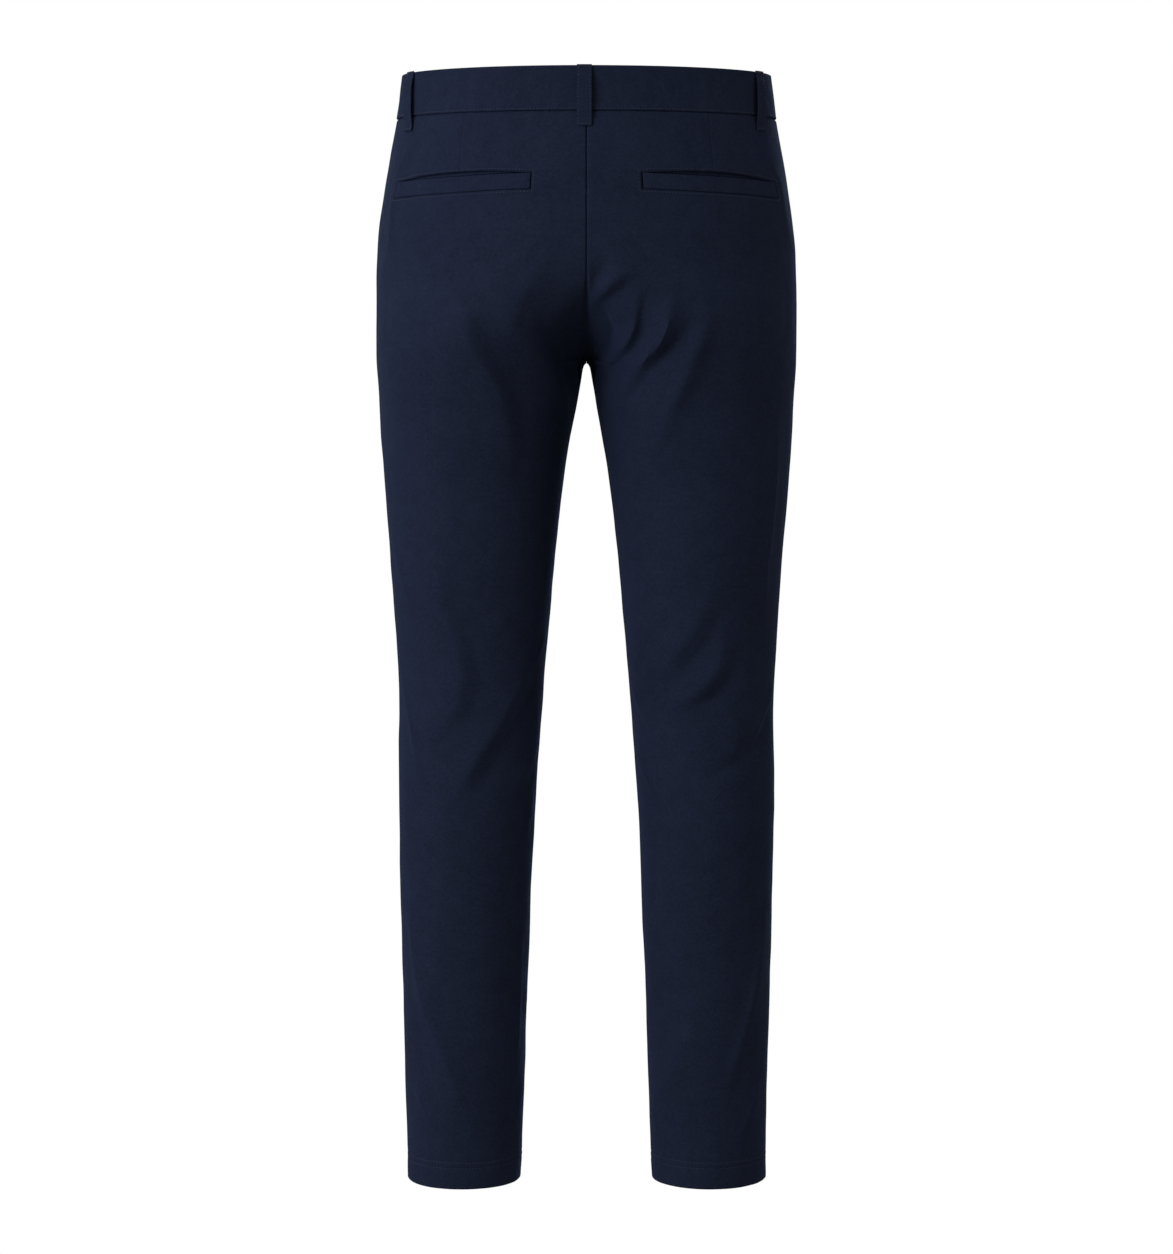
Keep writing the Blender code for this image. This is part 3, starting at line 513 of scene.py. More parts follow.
def shell(name, arc, height, out, side, keep=None, level=0.0):
    """A thin closed shell over the cells of a grid of arcs and heights that are kept.  Its
    inside lies SHELL under out or, where out sinks below level, at least 0.35 under out."""
    rows, columns = arc.shape
    inner = np.minimum(out - 0.35, np.maximum(out, level) - SHELL)
    outer_points = skin(arc, height, out, side).reshape(-1, 3)
    inner_points = skin(arc, height, inner, side).reshape(-1, 3)
    if keep is None:
        keep = np.ones((rows - 1, columns - 1), bool)
    count = rows * columns
    flip = side == RIGHT
    faces = [grid_faces(columns, keep, flip), grid_faces(columns, keep, not flip, count)]
    # the rim closes every side of a cell whose neighbour there isn't kept
    padded = np.pad(keep, 1)
    edges = []
    corners = ((0, 0), (1, 0), (1, 1), (0, 1))
    for k, (di, dj) in enumerate(((0, -1), (1, 0), (0, 1), (-1, 0))):
        i, j = np.nonzero(keep & ~padded[1 + di:rows + di, 1 + dj:columns + dj])
        first, second = ((i + a) * columns + j + b for a, b in (corners[k], corners[(k + 1) % 4]))
        edges.append(np.stack([second, first, first + count, second + count], axis=1))
    rim = np.vstack(edges)
    faces.append(rim[:, ::-1] if flip else rim)
    used = np.unique(np.vstack(faces))
    renumber = np.full(2 * count, -1)
    renumber[used] = np.arange(len(used))
    verts = np.vstack([outer_points, inner_points])[used]
    faces = renumber[np.vstack(faces)].tolist()
    uv = cloth_uv(arc, height)
    return mesh_piece(name, verts, faces, np.vstack([uv, uv])[used], TWILL, 50)


def tube(name, arc, height, out, side):
    """A closed strap: each row of the arrays is one closed section of it."""
    rows, columns = arc.shape
    points = skin(arc, height, out, side).reshape(-1, 3)
    i, j = np.meshgrid(np.arange(rows - 1), np.arange(columns), indexing="ij")
    a, b = i * columns + j, i * columns + (j + 1) % columns
    quads = np.stack([a, b, b + columns, a + columns], axis=-1).reshape(-1, 4)
    faces = (quads[:, ::-1] if side == RIGHT else quads).tolist()
    first = list(range(columns))
    last = [(rows - 1) * columns + k for k in range(columns)]
    faces += [first[::-1], last] if side == LEFT else [first, last[::-1]]
    return mesh_piece(name, points, faces, cloth_uv(arc, height), TWILL, 60)


def stitching(name, paths, side):
    """Stitches along open paths of (arc, height, out) points.  Each one is a thin four-sided
    bar through four places along it, and dips into the cloth at its ends."""
    places = [[], [], [], []]
    for path in paths:
        path = np.asarray(path, float)
        run = np.r_[0, np.cumsum(np.hypot(*np.diff(path[:, :2], axis=0).T))]
        count = max(1, int(run[-1] // STITCH_PITCH))
        pitch = run[-1] / count
        length = min(STITCH, pitch * 0.8)
        at = np.arange(count) * pitch + (pitch - length) / 2
        for group, share, rise in zip(places, (0, 0.28, 0.72, 1), (-0.12, 0.12, 0.12, -0.12)):
            place = [np.interp(at + share * length, run, path[:, k]) for k in range(3)]
            place[2] = place[2] + rise
            group.append(np.stack(place, axis=1))
    places = [np.vstack(group) for group in places]
    p0, p1, p2, p3 = (skin(*group.T, side) for group in places)
    above = skin(*(places[1] + (0, 0, 1)).T, side) - p1
    up = above / np.linalg.norm(above, axis=1, keepdims=True)
    across = np.cross(p3 - p0, up)
    across = across / np.linalg.norm(across, axis=1, keepdims=True) * STITCH_HALF_WIDTH * MM
    up = up * STITCH_HALF_WIDTH * 0.8 * MM
    rings = [p + offset for p in (p1, p2) for offset in (across, up, -across, -up)]
    verts = np.stack([p0, *rings, p3], axis=1).reshape(-1, 3)
    bar = []
    for k in range(4):
        n = (k + 1) % 4
        bar += [(0, 1 + n, 1 + k), (1 + k, 1 + n, 5 + n), (1 + k, 5 + n, 5 + k), (5 + k, 5 + n, 9)]
    faces = (np.array(bar) + 10 * np.arange(len(p0))[:, None, None]).reshape(-1, 3)
    return mesh_piece(name, verts, faces.tolist(), None, THREAD, 80)


# ---------------------------------------------------------------- materials
class Nodes:
    """Short ways to build one material's nodes.  In keywords, _ stands for a socket's space."""

    def __init__(self, name, **sockets):
        self.material = bpy.data.materials.new(name)
        self.material.use_nodes = True
        self.tree = self.material.node_tree
        self.shader = self.tree.nodes["Principled BSDF"]
        for socket, value in sockets.items():
            self.shader.inputs[socket.replace("_", " ")].default_value = value

    def add(self, kind, links=(), **values):
        node = self.tree.nodes.new(kind)
        for key, value in values.items():
            socket = key.replace("_", " ")
            if socket in node.inputs:
                node.inputs[socket].default_value = value
            else:
                setattr(node, key, value)
        for socket, source in links:
            self.tree.links.new(source, node.inputs[socket])
        return node

    def math(self, operation, a, b):
        node = self.add("ShaderNodeMath", operation=operation)
        for socket, value in zip(node.inputs, (a, b)):
            if isinstance(value, float):
                socket.default_value = value
            else:
                self.tree.links.new(value, socket)
        return node.outputs[0]

    def mapped(self, vector, **values):
        return self.add("ShaderNodeMapping", [("Vector", vector)], **values).outputs["Vector"]

    def noise(self, vector, scale, detail):
        node = self.add("ShaderNodeTexNoise", [("Vector", vector)], Scale=scale, Detail=detail)
        return node.outputs["Fac"]

    def mix(self, factor, low, high):
        node = self.add("ShaderNodeMix", [("Factor", factor)], data_type="RGBA")
        node.inputs["A"].default_value = (*low, 1)
        node.inputs["B"].default_value = (*high, 1)
        return node.outputs["Result"]

    def bump(self, height, distance, strength, under=None):
        links = [("Height", height)] + ([("Normal", under)] if under else [])
        node = self.add("ShaderNodeBump", links, Distance=distance, Strength=strength)
        return node.outputs["Normal"]

    def finish(self, **sources):
        for socket, source in sources.items():
            self.tree.links.new(source, self.shader.inputs[socket.replace("_", " ")])
        return self.material


def twill(name, dark, light):
    """Fine diagonal twill, in metres of cloth, with uneven yarns and a little lint and wear."""
    angle, pitch = 0.62, 0.95 * MM
    n = Nodes(name, Roughness=0.82, Specular_IOR_Level=0.02, Sheen_Weight=0.11,
              Sheen_Roughness=0.42, Sheen_Tint=(0.24, 0.42, 1.0, 1))
    uv = n.add("ShaderNodeUVMap", uv_map="cloth").outputs["UV"]
    turned = n.mapped(uv, Rotation=(0, 0, angle))
    # a wave of bands repeats every 2 pi / 20 over its scale
    wave = n.add("ShaderNodeTexWave", [("Vector", turned)], wave_type="BANDS",
                 bands_direction="X", Scale=2 * math.pi / 20 / pitch, Distortion=1.2, Detail=2.0,
                 Detail_Scale=1.5)
    rib = wave.outputs["Fac"]
    yarn = n.noise(n.mapped(uv, Scale=(1600, 420, 1)), 1.0, 2.0)
    cloud = n.noise(uv, 14.0, 3.0)
    shade = n.math("ADD", n.math("MULTIPLY", rib, 0.36), n.math("MULTIPLY", yarn, 0.34))
    for scale, detail, weight in (
            (800.0, 1.0, 0.8), (300.0, 2.0, 0.7), (70.0, 2.0, 0.42), (14.0, 3.0, 0.45)):
        patch = n.math("SUBTRACT", n.noise(uv, scale, detail), 0.5)
        shade = n.math("ADD", shade, n.math("MULTIPLY", patch, weight))
    color = n.mix(n.math("ADD", shade, 0.17), dark, light)
    soft = n.bump(n.noise(uv, 55.0, 3.0), 0.0006, 0.5)
    weave = n.math("ADD", rib, n.math("MULTIPLY", yarn, 0.6))
    return n.finish(Base_Color=color, Normal=n.bump(weave, 0.00012, 0.7, soft),
                    Roughness=n.math("ADD", 0.74, n.math("MULTIPLY", cloud, 0.14)))


def plain(name, dark, light, roughness, scale, depth=0.00008, **sockets):
    """A fine even grain over the object's own place."""
    n = Nodes(name, Roughness=roughness, **sockets)
    grain = n.noise(n.add("ShaderNodeTexCoord").outputs["Object"], scale, 4.0)
    return n.finish(Base_Color=n.mix(grain, dark, light), Normal=n.bump(grain, depth, 0.5))


TWILL = twill("Navy twill", (0.0085, 0.0123, 0.0281), (0.0198, 0.0273, 0.0600))
THREAD = plain("Navy thread", (0.0105, 0.0153, 0.0375), (0.0215, 0.0300, 0.0720), 0.6, 2600.0,
               Sheen_Weight=0.1)
BUTTON = plain("Navy button", (0.006, 0.008, 0.017), (0.013, 0.016, 0.030), 0.42, 120.0, 0.00002)
TAPE = plain("Zip tape", (0.006, 0.008, 0.017), (0.012, 0.016, 0.034), 0.8, 1500.0)
METAL = plain("Zip metal", (0.36, 0.34, 0.30), (0.46, 0.44, 0.39), 0.32, 700.0, 0.00003,
              Metallic=1.0)


# ---------------------------------------------------------------- panels
def edge_stops(low, high, step=CELL):
    """Places from low to high, close together by both ends, where the cloth turns in."""
    close, clear = np.array([0.0, 0.35, 0.8, 1.4, 2.3, 3.6]), 6.5
    count = max(2, int((high - low - 2 * clear) / step) + 1)
    inner = np.linspace(low + clear, high - clear, count)
    return np.concatenate([low + close, inner, high - close[::-1]])


def turned_in(distance, depth=1.0, width=1.1, allowance=0.18):
    """How far cloth sinks by a seam, and rises over the seam's allowance beside it."""
    distance = np.maximum(distance, 0)
    over_allowance = allowance * smoothstep((10.5 - distance) / 2.5)
    return over_allowance - depth * np.exp(-(distance / width) ** 1.5)


POCKET_REACH = float(reach("back", POCKET_TOP))
POCKET_ENDS = (POCKET_FROM_SIDE, POCKET_FROM_SIDE + POCKET_WIDTH)
POCKET_SHARES = tuple(end / POCKET_REACH for end in POCKET_ENDS)


def pocket_drop(share, height):
    """The back pockets slope: rows near them sink towards the side."""
    across = np.interp(share, (0, *POCKET_SHARES, 1), (0, POCKET_DROP, 0, 0))
    middle = POCKET_TOP - POCKET_HEIGHT / 2
    near = 1 - np.abs(height - middle) / (WAIST_SEAM - middle)
    return across * smoothstep(1.6 * near)


def mouth_bow(share):
    """0 at both ends of a back pocket's mouth and 1 in its middle."""
    return np.sin(np.interp(share, POCKET_SHARES, (0, math.pi)))


def back_place(share, height):
    """Arc and height of a share of the back panel, with the pocket's slope, its upper lip's
    bow and the dart's slant above it."""
    up = np.clip((height - POCKET_TOP) / (WAIST_SEAM - POCKET_TOP), 0, 1)
    share = share - DART_SLANT * up * np.clip(1 - np.abs(share - DART_SHARE) / 0.2, 0, 1)
    above = np.exp(-np.maximum(height - POCKET_TOP, 0) / 9) * (height >= POCKET_TOP - 0.01)
    height = height - pocket_drop(share, height) + LIP_BOW * mouth_bow(share) * above
    share, width = evened("back", share, height)
    return SEAM_GAP / 2 + share * (width - SEAM_GAP), height


def panel_heights():
    """Rows of a panel at its inner edge: close by the seams, the pocket, the fork and the hem.
    The first ones go on up behind the waistband."""
    return np.concatenate([
        WAIST_SEAM - SEAM_GAP / 2 - np.array([-3.0, -0.6, 0.0, 0.4, 0.9, 1.6, 2.6, 4.2]),
        np.arange(-28.0, POCKET_TOP + 8, -CELL),
        POCKET_TOP + np.array([6.0, 3.4, 2.2, 1.2, 0.5, 0.0, -5.0, -10.0]),
        POCKET_BOTTOM - np.array([0.0, 0.5, 1.2, 2.2, 3.6, 6.0]),
        np.arange(POCKET_BOTTOM - 10, -222, -CELL),
        CROTCH + np.array([20, 16.5, 13.2, 10.2, 7.6, 5.4, 3.6, 2.2, 1.1, 0.4, 0,
                           -0.6, -1.6, -3.2, -5.6, -9, -13]),
        np.arange(-263.0, -984.0, -CELL),
        HEM + np.array([27.8, 26.4, 25.5, 24.6, 22.8, 20.9, 20.0, 19.1, 17.0, 13.0, 8.5,
                        5.0, 2.8, 1.6, 0.8, 0.3, 0.0]),
    ])


def panel_rows(shares):
    """Shares and heights of a panel: its rows crowd at the fork and spread out to the side."""
    inner = panel_heights()
    first, last = (int(np.argmin(np.abs(inner - height))) for height in FORK_ROWS)
    side = inner.copy()
    side[first:last + 1] = np.linspace(inner[first], inner[last], last - first + 1)
    return np.broadcast_arrays(shares, side[:, None] + (inner - side)[:, None] * shares ** 2)


def puckers(arc, height, at, tall, size, seed):
    """Short puckers that a stitched row draws into the cloth beside it."""
    places = zip(arc.ravel(), height.ravel())
    wave = np.array([noise.noise(Vector((a / 7.5, h / 22, seed))) for a, h in places])
    return size * bell(height - at, tall) * wave.reshape(arc.shape)


def top_and_hem(arc, height, below_seam, top_seed, hem_seed):
    """How far a panel stands out by its waist seam, which turns in, and by its hem, whose
    stitched rows sink and whose lower edge is rounded."""
    rows = sum(bell(height - row, 0.8) for row in HEM_ROWS)
    edge = np.clip((HEM + 1.6 - height) / 1.6, 0, 1)
    out = 0.15 * (height < HEM + 25) - 0.35 * rows - 0.9 * edge ** 2
    out += puckers(arc, height, HEM_PUCKER, 16, 0.55, hem_seed)
    out += puckers(arc, height, WAIST_SEAM, 12, 0.5, top_seed)
    return out + turned_in(below_seam, 2.3, 1.1, 0)


def underlapped(arc, out, both_ends):
    """Columns at the ends of a grid moved on past the seam and down under the next panel."""
    arc, out = arc.copy(), out.copy()
    for k, (past, depth) in enumerate(UNDERLAP):
        for column_at, way in ((UNDER - 1 - k, -1), (k - UNDER, 1))[:1 + both_ends]:
            arc[:, column_at] += way * past
            out[:, column_at] = depth
    return arc, out


def back_panel(side, name):
    # columns crowd by the seams, by the pocket's ends and by the dart above the pocket
    ends = (0, *POCKET_ENDS, POCKET_REACH)
    stops = np.concatenate([edge_stops(*pair) for pair in zip(ends, ends[1:])])
    dart = DART_SHARE * POCKET_REACH
    by_dart = dart + np.array([-2.4, -1.1, -0.45, 0, 0.45, 1.1, 2.4])
    shares = np.unique(np.r_[stops[np.abs(stops - dart) > 3.2], by_dart].round(4)) / POCKET_REACH
    shares[-1] = 1.0
    share, level = panel_rows(np.r_[np.zeros(UNDER), shares, np.ones(UNDER)])
    arc, height = back_place(share, level)
    from_centre = reach("back", height) - arc
    out = turned_in(arc) + turned_in(from_centre, 1.3, 0.6 if side == LEFT else 1.1)
    out += top_and_hem(arc, height, WAIST_SEAM - level, 7.7 * side, 3.1 * side)
    # the pocket's edges turn in, and the dart above it sinks
    low, high = POCKET_ENDS
    at = share * POCKET_REACH
    past_side = np.maximum(low - at, at - high)
    past_top = np.maximum(level - POCKET_TOP, POCKET_BOTTOM - level)
    from_mouth = np.hypot(np.maximum(past_side, 0), np.maximum(past_top, 0))
    out += turned_in(from_mouth, 0.9, 0.9, 0) + 0.08 * bell(from_mouth - 2.6, 2.0)
    out -= 0.4 * bell(at - dart, 0.7) * smoothstep((level - POCKET_TOP) / 2)
    arc, out = underlapped(arc, out, True)
    # The pocket's mouth is cut out.  The side seam has its underlap below the slanted mouth,
    # and the centre seam has one under the right half, while each inseam has its own.
    margin = 0.01
    columns = np.flatnonzero((at[0] > low - margin) & (at[0] < high + margin))
    rows = np.flatnonzero((level[:, 0] < POCKET_TOP + margin)
                          & (level[:, 0] > POCKET_BOTTOM - margin))
    keep = np.ones(np.subtract(arc.shape, 1), bool)
    keep[rows[0]:rows[-1], columns[0]:columns[-1]] = False
    keep[height[:-1, 0] > SLANT_BOTTOM - 4, :UNDER] = False
    on_leg, on_seat = height[:-1, -1] <= CROTCH, height[1:, -1] > CROTCH
    keep[~(on_leg | (on_seat & (side == LEFT))), -UNDER:] = False
    return shell(name, arc, height, out, side, keep)


def slant(height):
    """How far the front pocket's mouth stands off the side seam."""
    return SLANT_TOP * np.clip((height - SLANT_BOTTOM) / (WAIST_SEAM - SLANT_BOTTOM), 0, 1)


def lap_lift(arc, height, thick, side):
    """How far the left half rises by the centre front, where it lies over the right one."""
    ramp = smoothstep((FLY_RAMP - reach("front", height) - arc) / (FLY_RAMP - FLY_FLAT))
    return (thick + LAYER_GAP) * ramp * (side == LEFT)


def fly_lift(arc, height, side):
    open_part = smoothstep((height - FLY_END) / (FLY_CLOSED - FLY_END))
    return lap_lift(arc, height, CLOTH, side) * open_part


def front_panel(side, name):
    shares = edge_stops(0, FRONT_WIDTH)[::-1] / FRONT_WIDTH
    share, height = panel_rows(np.r_[np.ones(UNDER), shares])
    share, width = evened("front", share, height)
    lap = np.clip((height - FLY_CLOSED) / (FLY_STRAIGHT - FLY_CLOSED), 0, 1) * (side == LEFT)
    start = SEAM_GAP / 2 + slant(height)
    end = width - SEAM_GAP / 2 + (FLY_LAP + SEAM_GAP / 2) * lap
    run = start + share * (end - start)
    mouth = height > SLANT_BOTTOM
    out = turned_in(run - start, 0.8, np.where(mouth, 0.7, 1.1)) + turned_in(end - run, 1.0, 0.9)
    out -= 0.3 * bell(run - start - SLANT_ROWS[1], 0.9) * mouth
    out += fly_lift(-run, height, side)
    out += top_and_hem(-run, height, WAIST_SEAM - height, 1.9 * side, 5.3 * side)
    arc, out = underlapped(-run, out, False)
    keep = np.ones(np.subtract(arc.shape, 1), bool)
    below_fly = (height[:-1, 0] < FLY_END) & (height[1:, 0] > CROTCH) & (side == LEFT)
    keep[~below_fly, :UNDER] = False
    return shell(name, arc, height, out, side, keep)


# ---------------------------------------------------------------- straps and facings
def rounded_box(low, high, bottom, top, corner, step):
    """A closed section with rounded corners, anticlockwise from outside: across and out."""
    quarter = np.linspace(0, math.pi / 2, 4)
    centres = ((high - corner, top - corner), (low + corner, top - corner),
               (low + corner, bottom + corner), (high - corner, bottom + corner))
    corners = []
    for k, centre in enumerate(centres):
        angle = quarter + k * math.pi / 2
        corners.append(centre + corner * np.stack([np.cos(angle), np.sin(angle)], axis=1))
    points = []
    for arc, following in zip(corners, corners[1:] + corners[:1]):
        steps = int(math.dist(arc[-1], following[0]) / step)
        points += [arc, np.linspace(arc[-1], following[0], steps + 1)[1:-1]]
    return np.vstack(points).T


def ends_rounded(run, length, radius):
    """Share of the thickness that is left close to a strap's ends."""
    from_end = np.clip(np.minimum(run, length - run) / radius, 0, 1)
    return np.sqrt(np.clip(1 - (1 - from_end) ** 2, 0.04, 1))


def waistband(side, name):
    inside = -1.7
    across, out = rounded_box(WAIST_SEAM + SEAM_GAP / 2, WAIST_TOP, inside, BAND_PROUD, 0.7, 1.6)
    stops = edge_stops(0, BAND_WIDTH, BAND_CELL)[:, None]
    height = np.broadcast_to(across, (len(stops), len(across)))
    start = -(reach("front", height) + (BAND_LAP if side == LEFT else -SEAM_GAP / 2))
    arc = start + stops / BAND_WIDTH * (reach("back", height) - SEAM_GAP / 2 - start)
    middle = (BAND_PROUD + inside) / 2
    lifted = middle + (out - middle) * ends_rounded(stops, BAND_WIDTH, 1.0)
    lifted = lifted + lap_lift(arc, height, BAND_THICK, side)
    stitched = -0.22 * bell(height - BAND_ROW, 0.8) * (out > 0)
    buckle = puckers(arc, height, -12, 26, 0.55, 11.3 * side) * (out > -0.6)
    return tube(name, arc, height, lifted + stitched + buckle, side)


def back_welt(side, name):
    shares = np.linspace(*POCKET_SHARES, 38)
    arc, height = back_place(*np.meshgrid(shares, [POCKET_TOP - 0.02, POCKET_BOTTOM + SEAM_GAP]))
    arc[:, 0] += 0.6
    arc[:, -1] -= 1.1
    height[0] -= SEAM_GAP
    across, out = rounded_box(0, POCKET_HEIGHT, -1.1, 0.45, 0.5, 2.4)
    up = across / POCKET_HEIGHT
    arcs, heights = (lower[:, None] + (upper - lower)[:, None] * up
                     for upper, lower in (arc, height))
    run = (arc[0] - arc[0, 0])[:, None]
    middle = -0.35
    thick = (out - middle) * ends_rounded(run, run[-1], 0.8)
    sunk = -0.3 * bell(across - POCKET_HEIGHT + 2.2, 0.9) * (out > 0)
    return tube(name, arcs, heights, middle + thick + sunk, side)


def back_facing(side, name):
    rows = POCKET_TOP + np.array([14, 10, 8, 6.8, 5.8, 5, 4.2, 3.4, 2.7, 2.1, 1.7, 1.3, 0.9, 0.5,
                                  0.1, -0.4, -1, -3, -7, -11, -16, -20, -23.5])
    shares = np.linspace(POCKET_SHARES[0] - 0.045, POCKET_SHARES[1] + 0.04, 60)
    share, height = np.meshgrid(shares, rows)
    arc = SEAM_GAP / 2 + share * (POCKET_REACH - SEAM_GAP)
    sag = MOUTH_SAG * mouth_bow(share) * bell(height - POCKET_TOP - LIP_BOW, 2.6)
    sag += MOUTH_GROOVE * bell(height - POCKET_TOP - 0.6, 0.85)
    height = height - pocket_drop(share, height)
    return shell(name, arc, height, FACING_OUT - sag, side, level=FACING_OUT)


def front_facing(side, name):
    share, height = np.meshgrid(np.linspace(0, 1, 24),
                                np.linspace(WAIST_SEAM + 3.0, SLANT_BOTTOM - 6, 40))
    start = -(slant(height) + 0.08 * (reach("front", height) - slant(height)))
    arc = start + share * (0.055 * reach("back", height) - start)
    return shell(name, arc, height, np.full(arc.shape, FACING_OUT), side, level=FACING_OUT)


def loop_path(height):
    """The belt loops' stand-off at any heights."""
    return smooth_curve(LOOP_HEIGHTS, LOOP_STAND_OFF, height)


def loop_middle(loop, height):
    """The arc of a loop's middle."""
    start = reach("back", height) if loop.origin == "centre" else 0.0
    return start + np.interp(height, (LOOP_BOTTOM, LOOP_TOP), (loop.bottom, loop.top))


def belt_loop(loop):
    across, out = rounded_box(-LOOP_WIDTH / 2, LOOP_WIDTH / 2, 0, LOOP_THICK, 0.5, 1.3)
    rows = np.concatenate([LOOP_TOP - np.array([0, 0.3, 0.8, 1.6]),
                           np.arange(LOOP_TOP - 2.9, LOOP_BOTTOM + 3.2, -1.3),
                           LOOP_BOTTOM + np.array([1.8, 0.9, 0.3, 0])])[:, None]
    arc = loop_middle(loop, rows) + across
    thick = (out - LOOP_THICK / 2) * ends_rounded(LOOP_TOP - rows, LOOP_TOP - LOOP_BOTTOM, 0.9)
    edge = -0.28 * bell(np.abs(across) - LOOP_ROW, 0.5) * (out > 0.5)
    fold = 0.35 * bell(rows - LOOP_BOTTOM - 1.5, 1.6) * (out > 0.5)
    off = loop_path(rows) + LOOP_THICK / 2 + thick + edge + fold
    return tube(loop.name + "_cloth", arc, np.broadcast_to(rows, arc.shape), off, loop.side)


# ---------------------------------------------------------------- stitched rows
def stitch_row(arc, height, out):
    """The points of one row, for stitching."""
    return np.stack(np.broadcast_arrays(arc, height, out), axis=1)


def hem_stitches(face, sign):
    ends = ((row, reach(face, row) - 1.5) for row in HEM_ROWS)
    return [stitch_row(sign * np.linspace(1.5, end, int((end - 1.5) / 6)), row, -0.12)
            for row, end in ends]


def tacks(arc, height, out, count, upright):
    """A bar of close stitches across a seam's end."""
    bars = []
    for shift in TACK_PITCH * np.arange(count):
        ends = ((-1, shift), (1, shift)) if upright else ((shift, -1), (shift, 1))
        bars.append([(arc + along, height + up, out) for along, up in ends])
    return bars


def back_stitches(side):
    """Rows all round the pocket's mouth and welt, and along the hem."""
    gap = 2.3
    top, bottom = POCKET_TOP + gap, POCKET_BOTTOM - gap
    low, high = POCKET_SHARES[0] - gap / POCKET_REACH, POCKET_SHARES[1] + gap / POCKET_REACH
    paths = []
    for level in (top, bottom):
        arc, height = back_place(np.linspace(low, high, 40), np.full(40, level))
        paths.append(stitch_row(arc, height, 0.22))
    for share in (low, high):
        arc, height = back_place(np.full(6, share), np.linspace(top, bottom, 6))
        paths.append(stitch_row(arc, np.linspace(height[0], height[-1], 6), 0.22))
    return paths + hem_stitches("back", 1)


def front_stitches(side):
    """Rows along the hem and the slanted mouth, with tacks across the mouth's ends.  On the
    left the fly's row runs down and curves in to the centre, with a tack there."""
    paths = hem_stitches("front", -1)
    height = np.linspace(WAIST_SEAM - 2, SLANT_BOTTOM + 3, 40)
    paths += [stitch_row(-(slant(height) + inset), height, -0.05) for inset in SLANT_ROWS]
    if side == LEFT:
        width, curve_top, curve_height = 36.0, -112, 34.0
        turn = np.linspace(0, math.pi / 2, 12)[1:]
        inset = np.r_[np.full(24, width), width * np.cos(turn) + np.sin(turn)]
        level = np.r_[np.linspace(WAIST_SEAM - 2, curve_top, 24),
                      curve_top - curve_height * np.sin(turn)]
        arc = inset - reach("front", level)
        paths.append(stitch_row(arc, level, fly_lift(arc, level, side) + 0.02))
        paths += tacks(2.0 - float(reach("front", -140)), -147.0, 0.9, 13, True)
    paths += tacks(-(slant(-28.0) + 1.2), -28.0, -0.02, 9, False)
    return paths + tacks(-2.6, SLANT_BOTTOM + 6, -0.02, 9, False)


def band_stitches(side):
    """A row along the band's lower edge.  On the left one more goes up the band's end, and
    close stitches go round the buttonhole, from the button towards that end."""
    lap = BAND_LAP - 2 if side == LEFT else -2.0
    arc = np.linspace(-(reach("front", BAND_ROW) + lap), reach("back", BAND_ROW) - 2, 110)
    lift = lap_lift(arc, BAND_ROW, BAND_THICK, side)
    paths = [stitch_row(arc, BAND_ROW, BAND_PROUD - 0.05 + lift)]
    if side == LEFT:
        out = LAP_OUT + 0.05
        height = np.linspace(WAIST_SEAM + 2, WAIST_TOP - 2, 14)
        paths.append(stitch_row(2.2 - BAND_LAP - reach("front", height), height, out))
        for arc in np.arange(BUTTON_ARC - 10.5, BUTTON_ARC + 4, 0.6):
            paths += [[(arc, BUTTON_HEIGHT + up, out) for up in ends]
                      for ends in ((-0.5, -2.4), (0.5, 2.4))]
    return paths


def loop_stitches(loop):
    """A row down each edge, and close ones across both ends."""
    height = np.linspace(LOOP_TOP - 1.6, LOOP_BOTTOM + 2.0, 36)
    out = loop_path(height) + LOOP_THICK - 0.08
    paths = [stitch_row(loop_middle(loop, height) + edge, height, out)
             for edge in (-LOOP_ROW, LOOP_ROW)]
    for at, proud in ((height[0], 0.05), (height[-1], 0.2)):
        top = loop_path(at) + LOOP_THICK + proud
        starts = loop_middle(loop, at) + np.arange(-4.9, 4.2, 1.5)
        paths += [[(start, at, top), (start + 1.3, at, top)] for start in starts]
    return paths


# ---------------------------------------------------------------- button
def button_frame():
    """The middle of the button's underside, with the z axis out of the band."""
    place = np.array([BUTTON_ARC]), np.array([BUTTON_HEIGHT])
    z_axis = Vector(outward(*place)[0])
    origin = Vector(skin(*place, LAP_OUT + LAYER_GAP, LEFT)[0])
    x_axis = Vector((0, 0, 1)).cross(z_axis).normalized()
    turn = Matrix((x_axis, z_axis.cross(x_axis), z_axis)).transposed()
    return Matrix.Translation(origin) @ turn.to_4x4()


def turned_solid(name, profile, steps, matrix):
    """A profile of (radius, z) pairs, from axis to axis, turned round the z axis."""
    angle = np.linspace(0, 2 * math.pi, steps, endpoint=False)
    rings = profile[1:-1]
    verts = [(0, 0, profile[0][1])]
    verts += [(r * math.cos(a), r * math.sin(a), z) for r, z in rings for a in angle]
    verts.append((0, 0, profile[-1][1]))
    pairs = [(k, (k + 1) % steps) for k in range(steps)]
    faces = [(0, 1 + k, 1 + n) for k, n in pairs]
    for ring in range(len(rings) - 1):
        a, b = 1 + ring * steps, 1 + (ring + 1) * steps
        faces += [(a + k, b + k, b + n, a + n) for k, n in pairs]
    a = 1 + (len(rings) - 1) * steps
    faces += [(a + k, len(verts) - 1, a + n) for k, n in pairs]
    verts = [matrix @ Vector(v) for v in np.array(verts) * MM]
    return mesh_piece(name, verts, faces, None, BUTTON, 45)


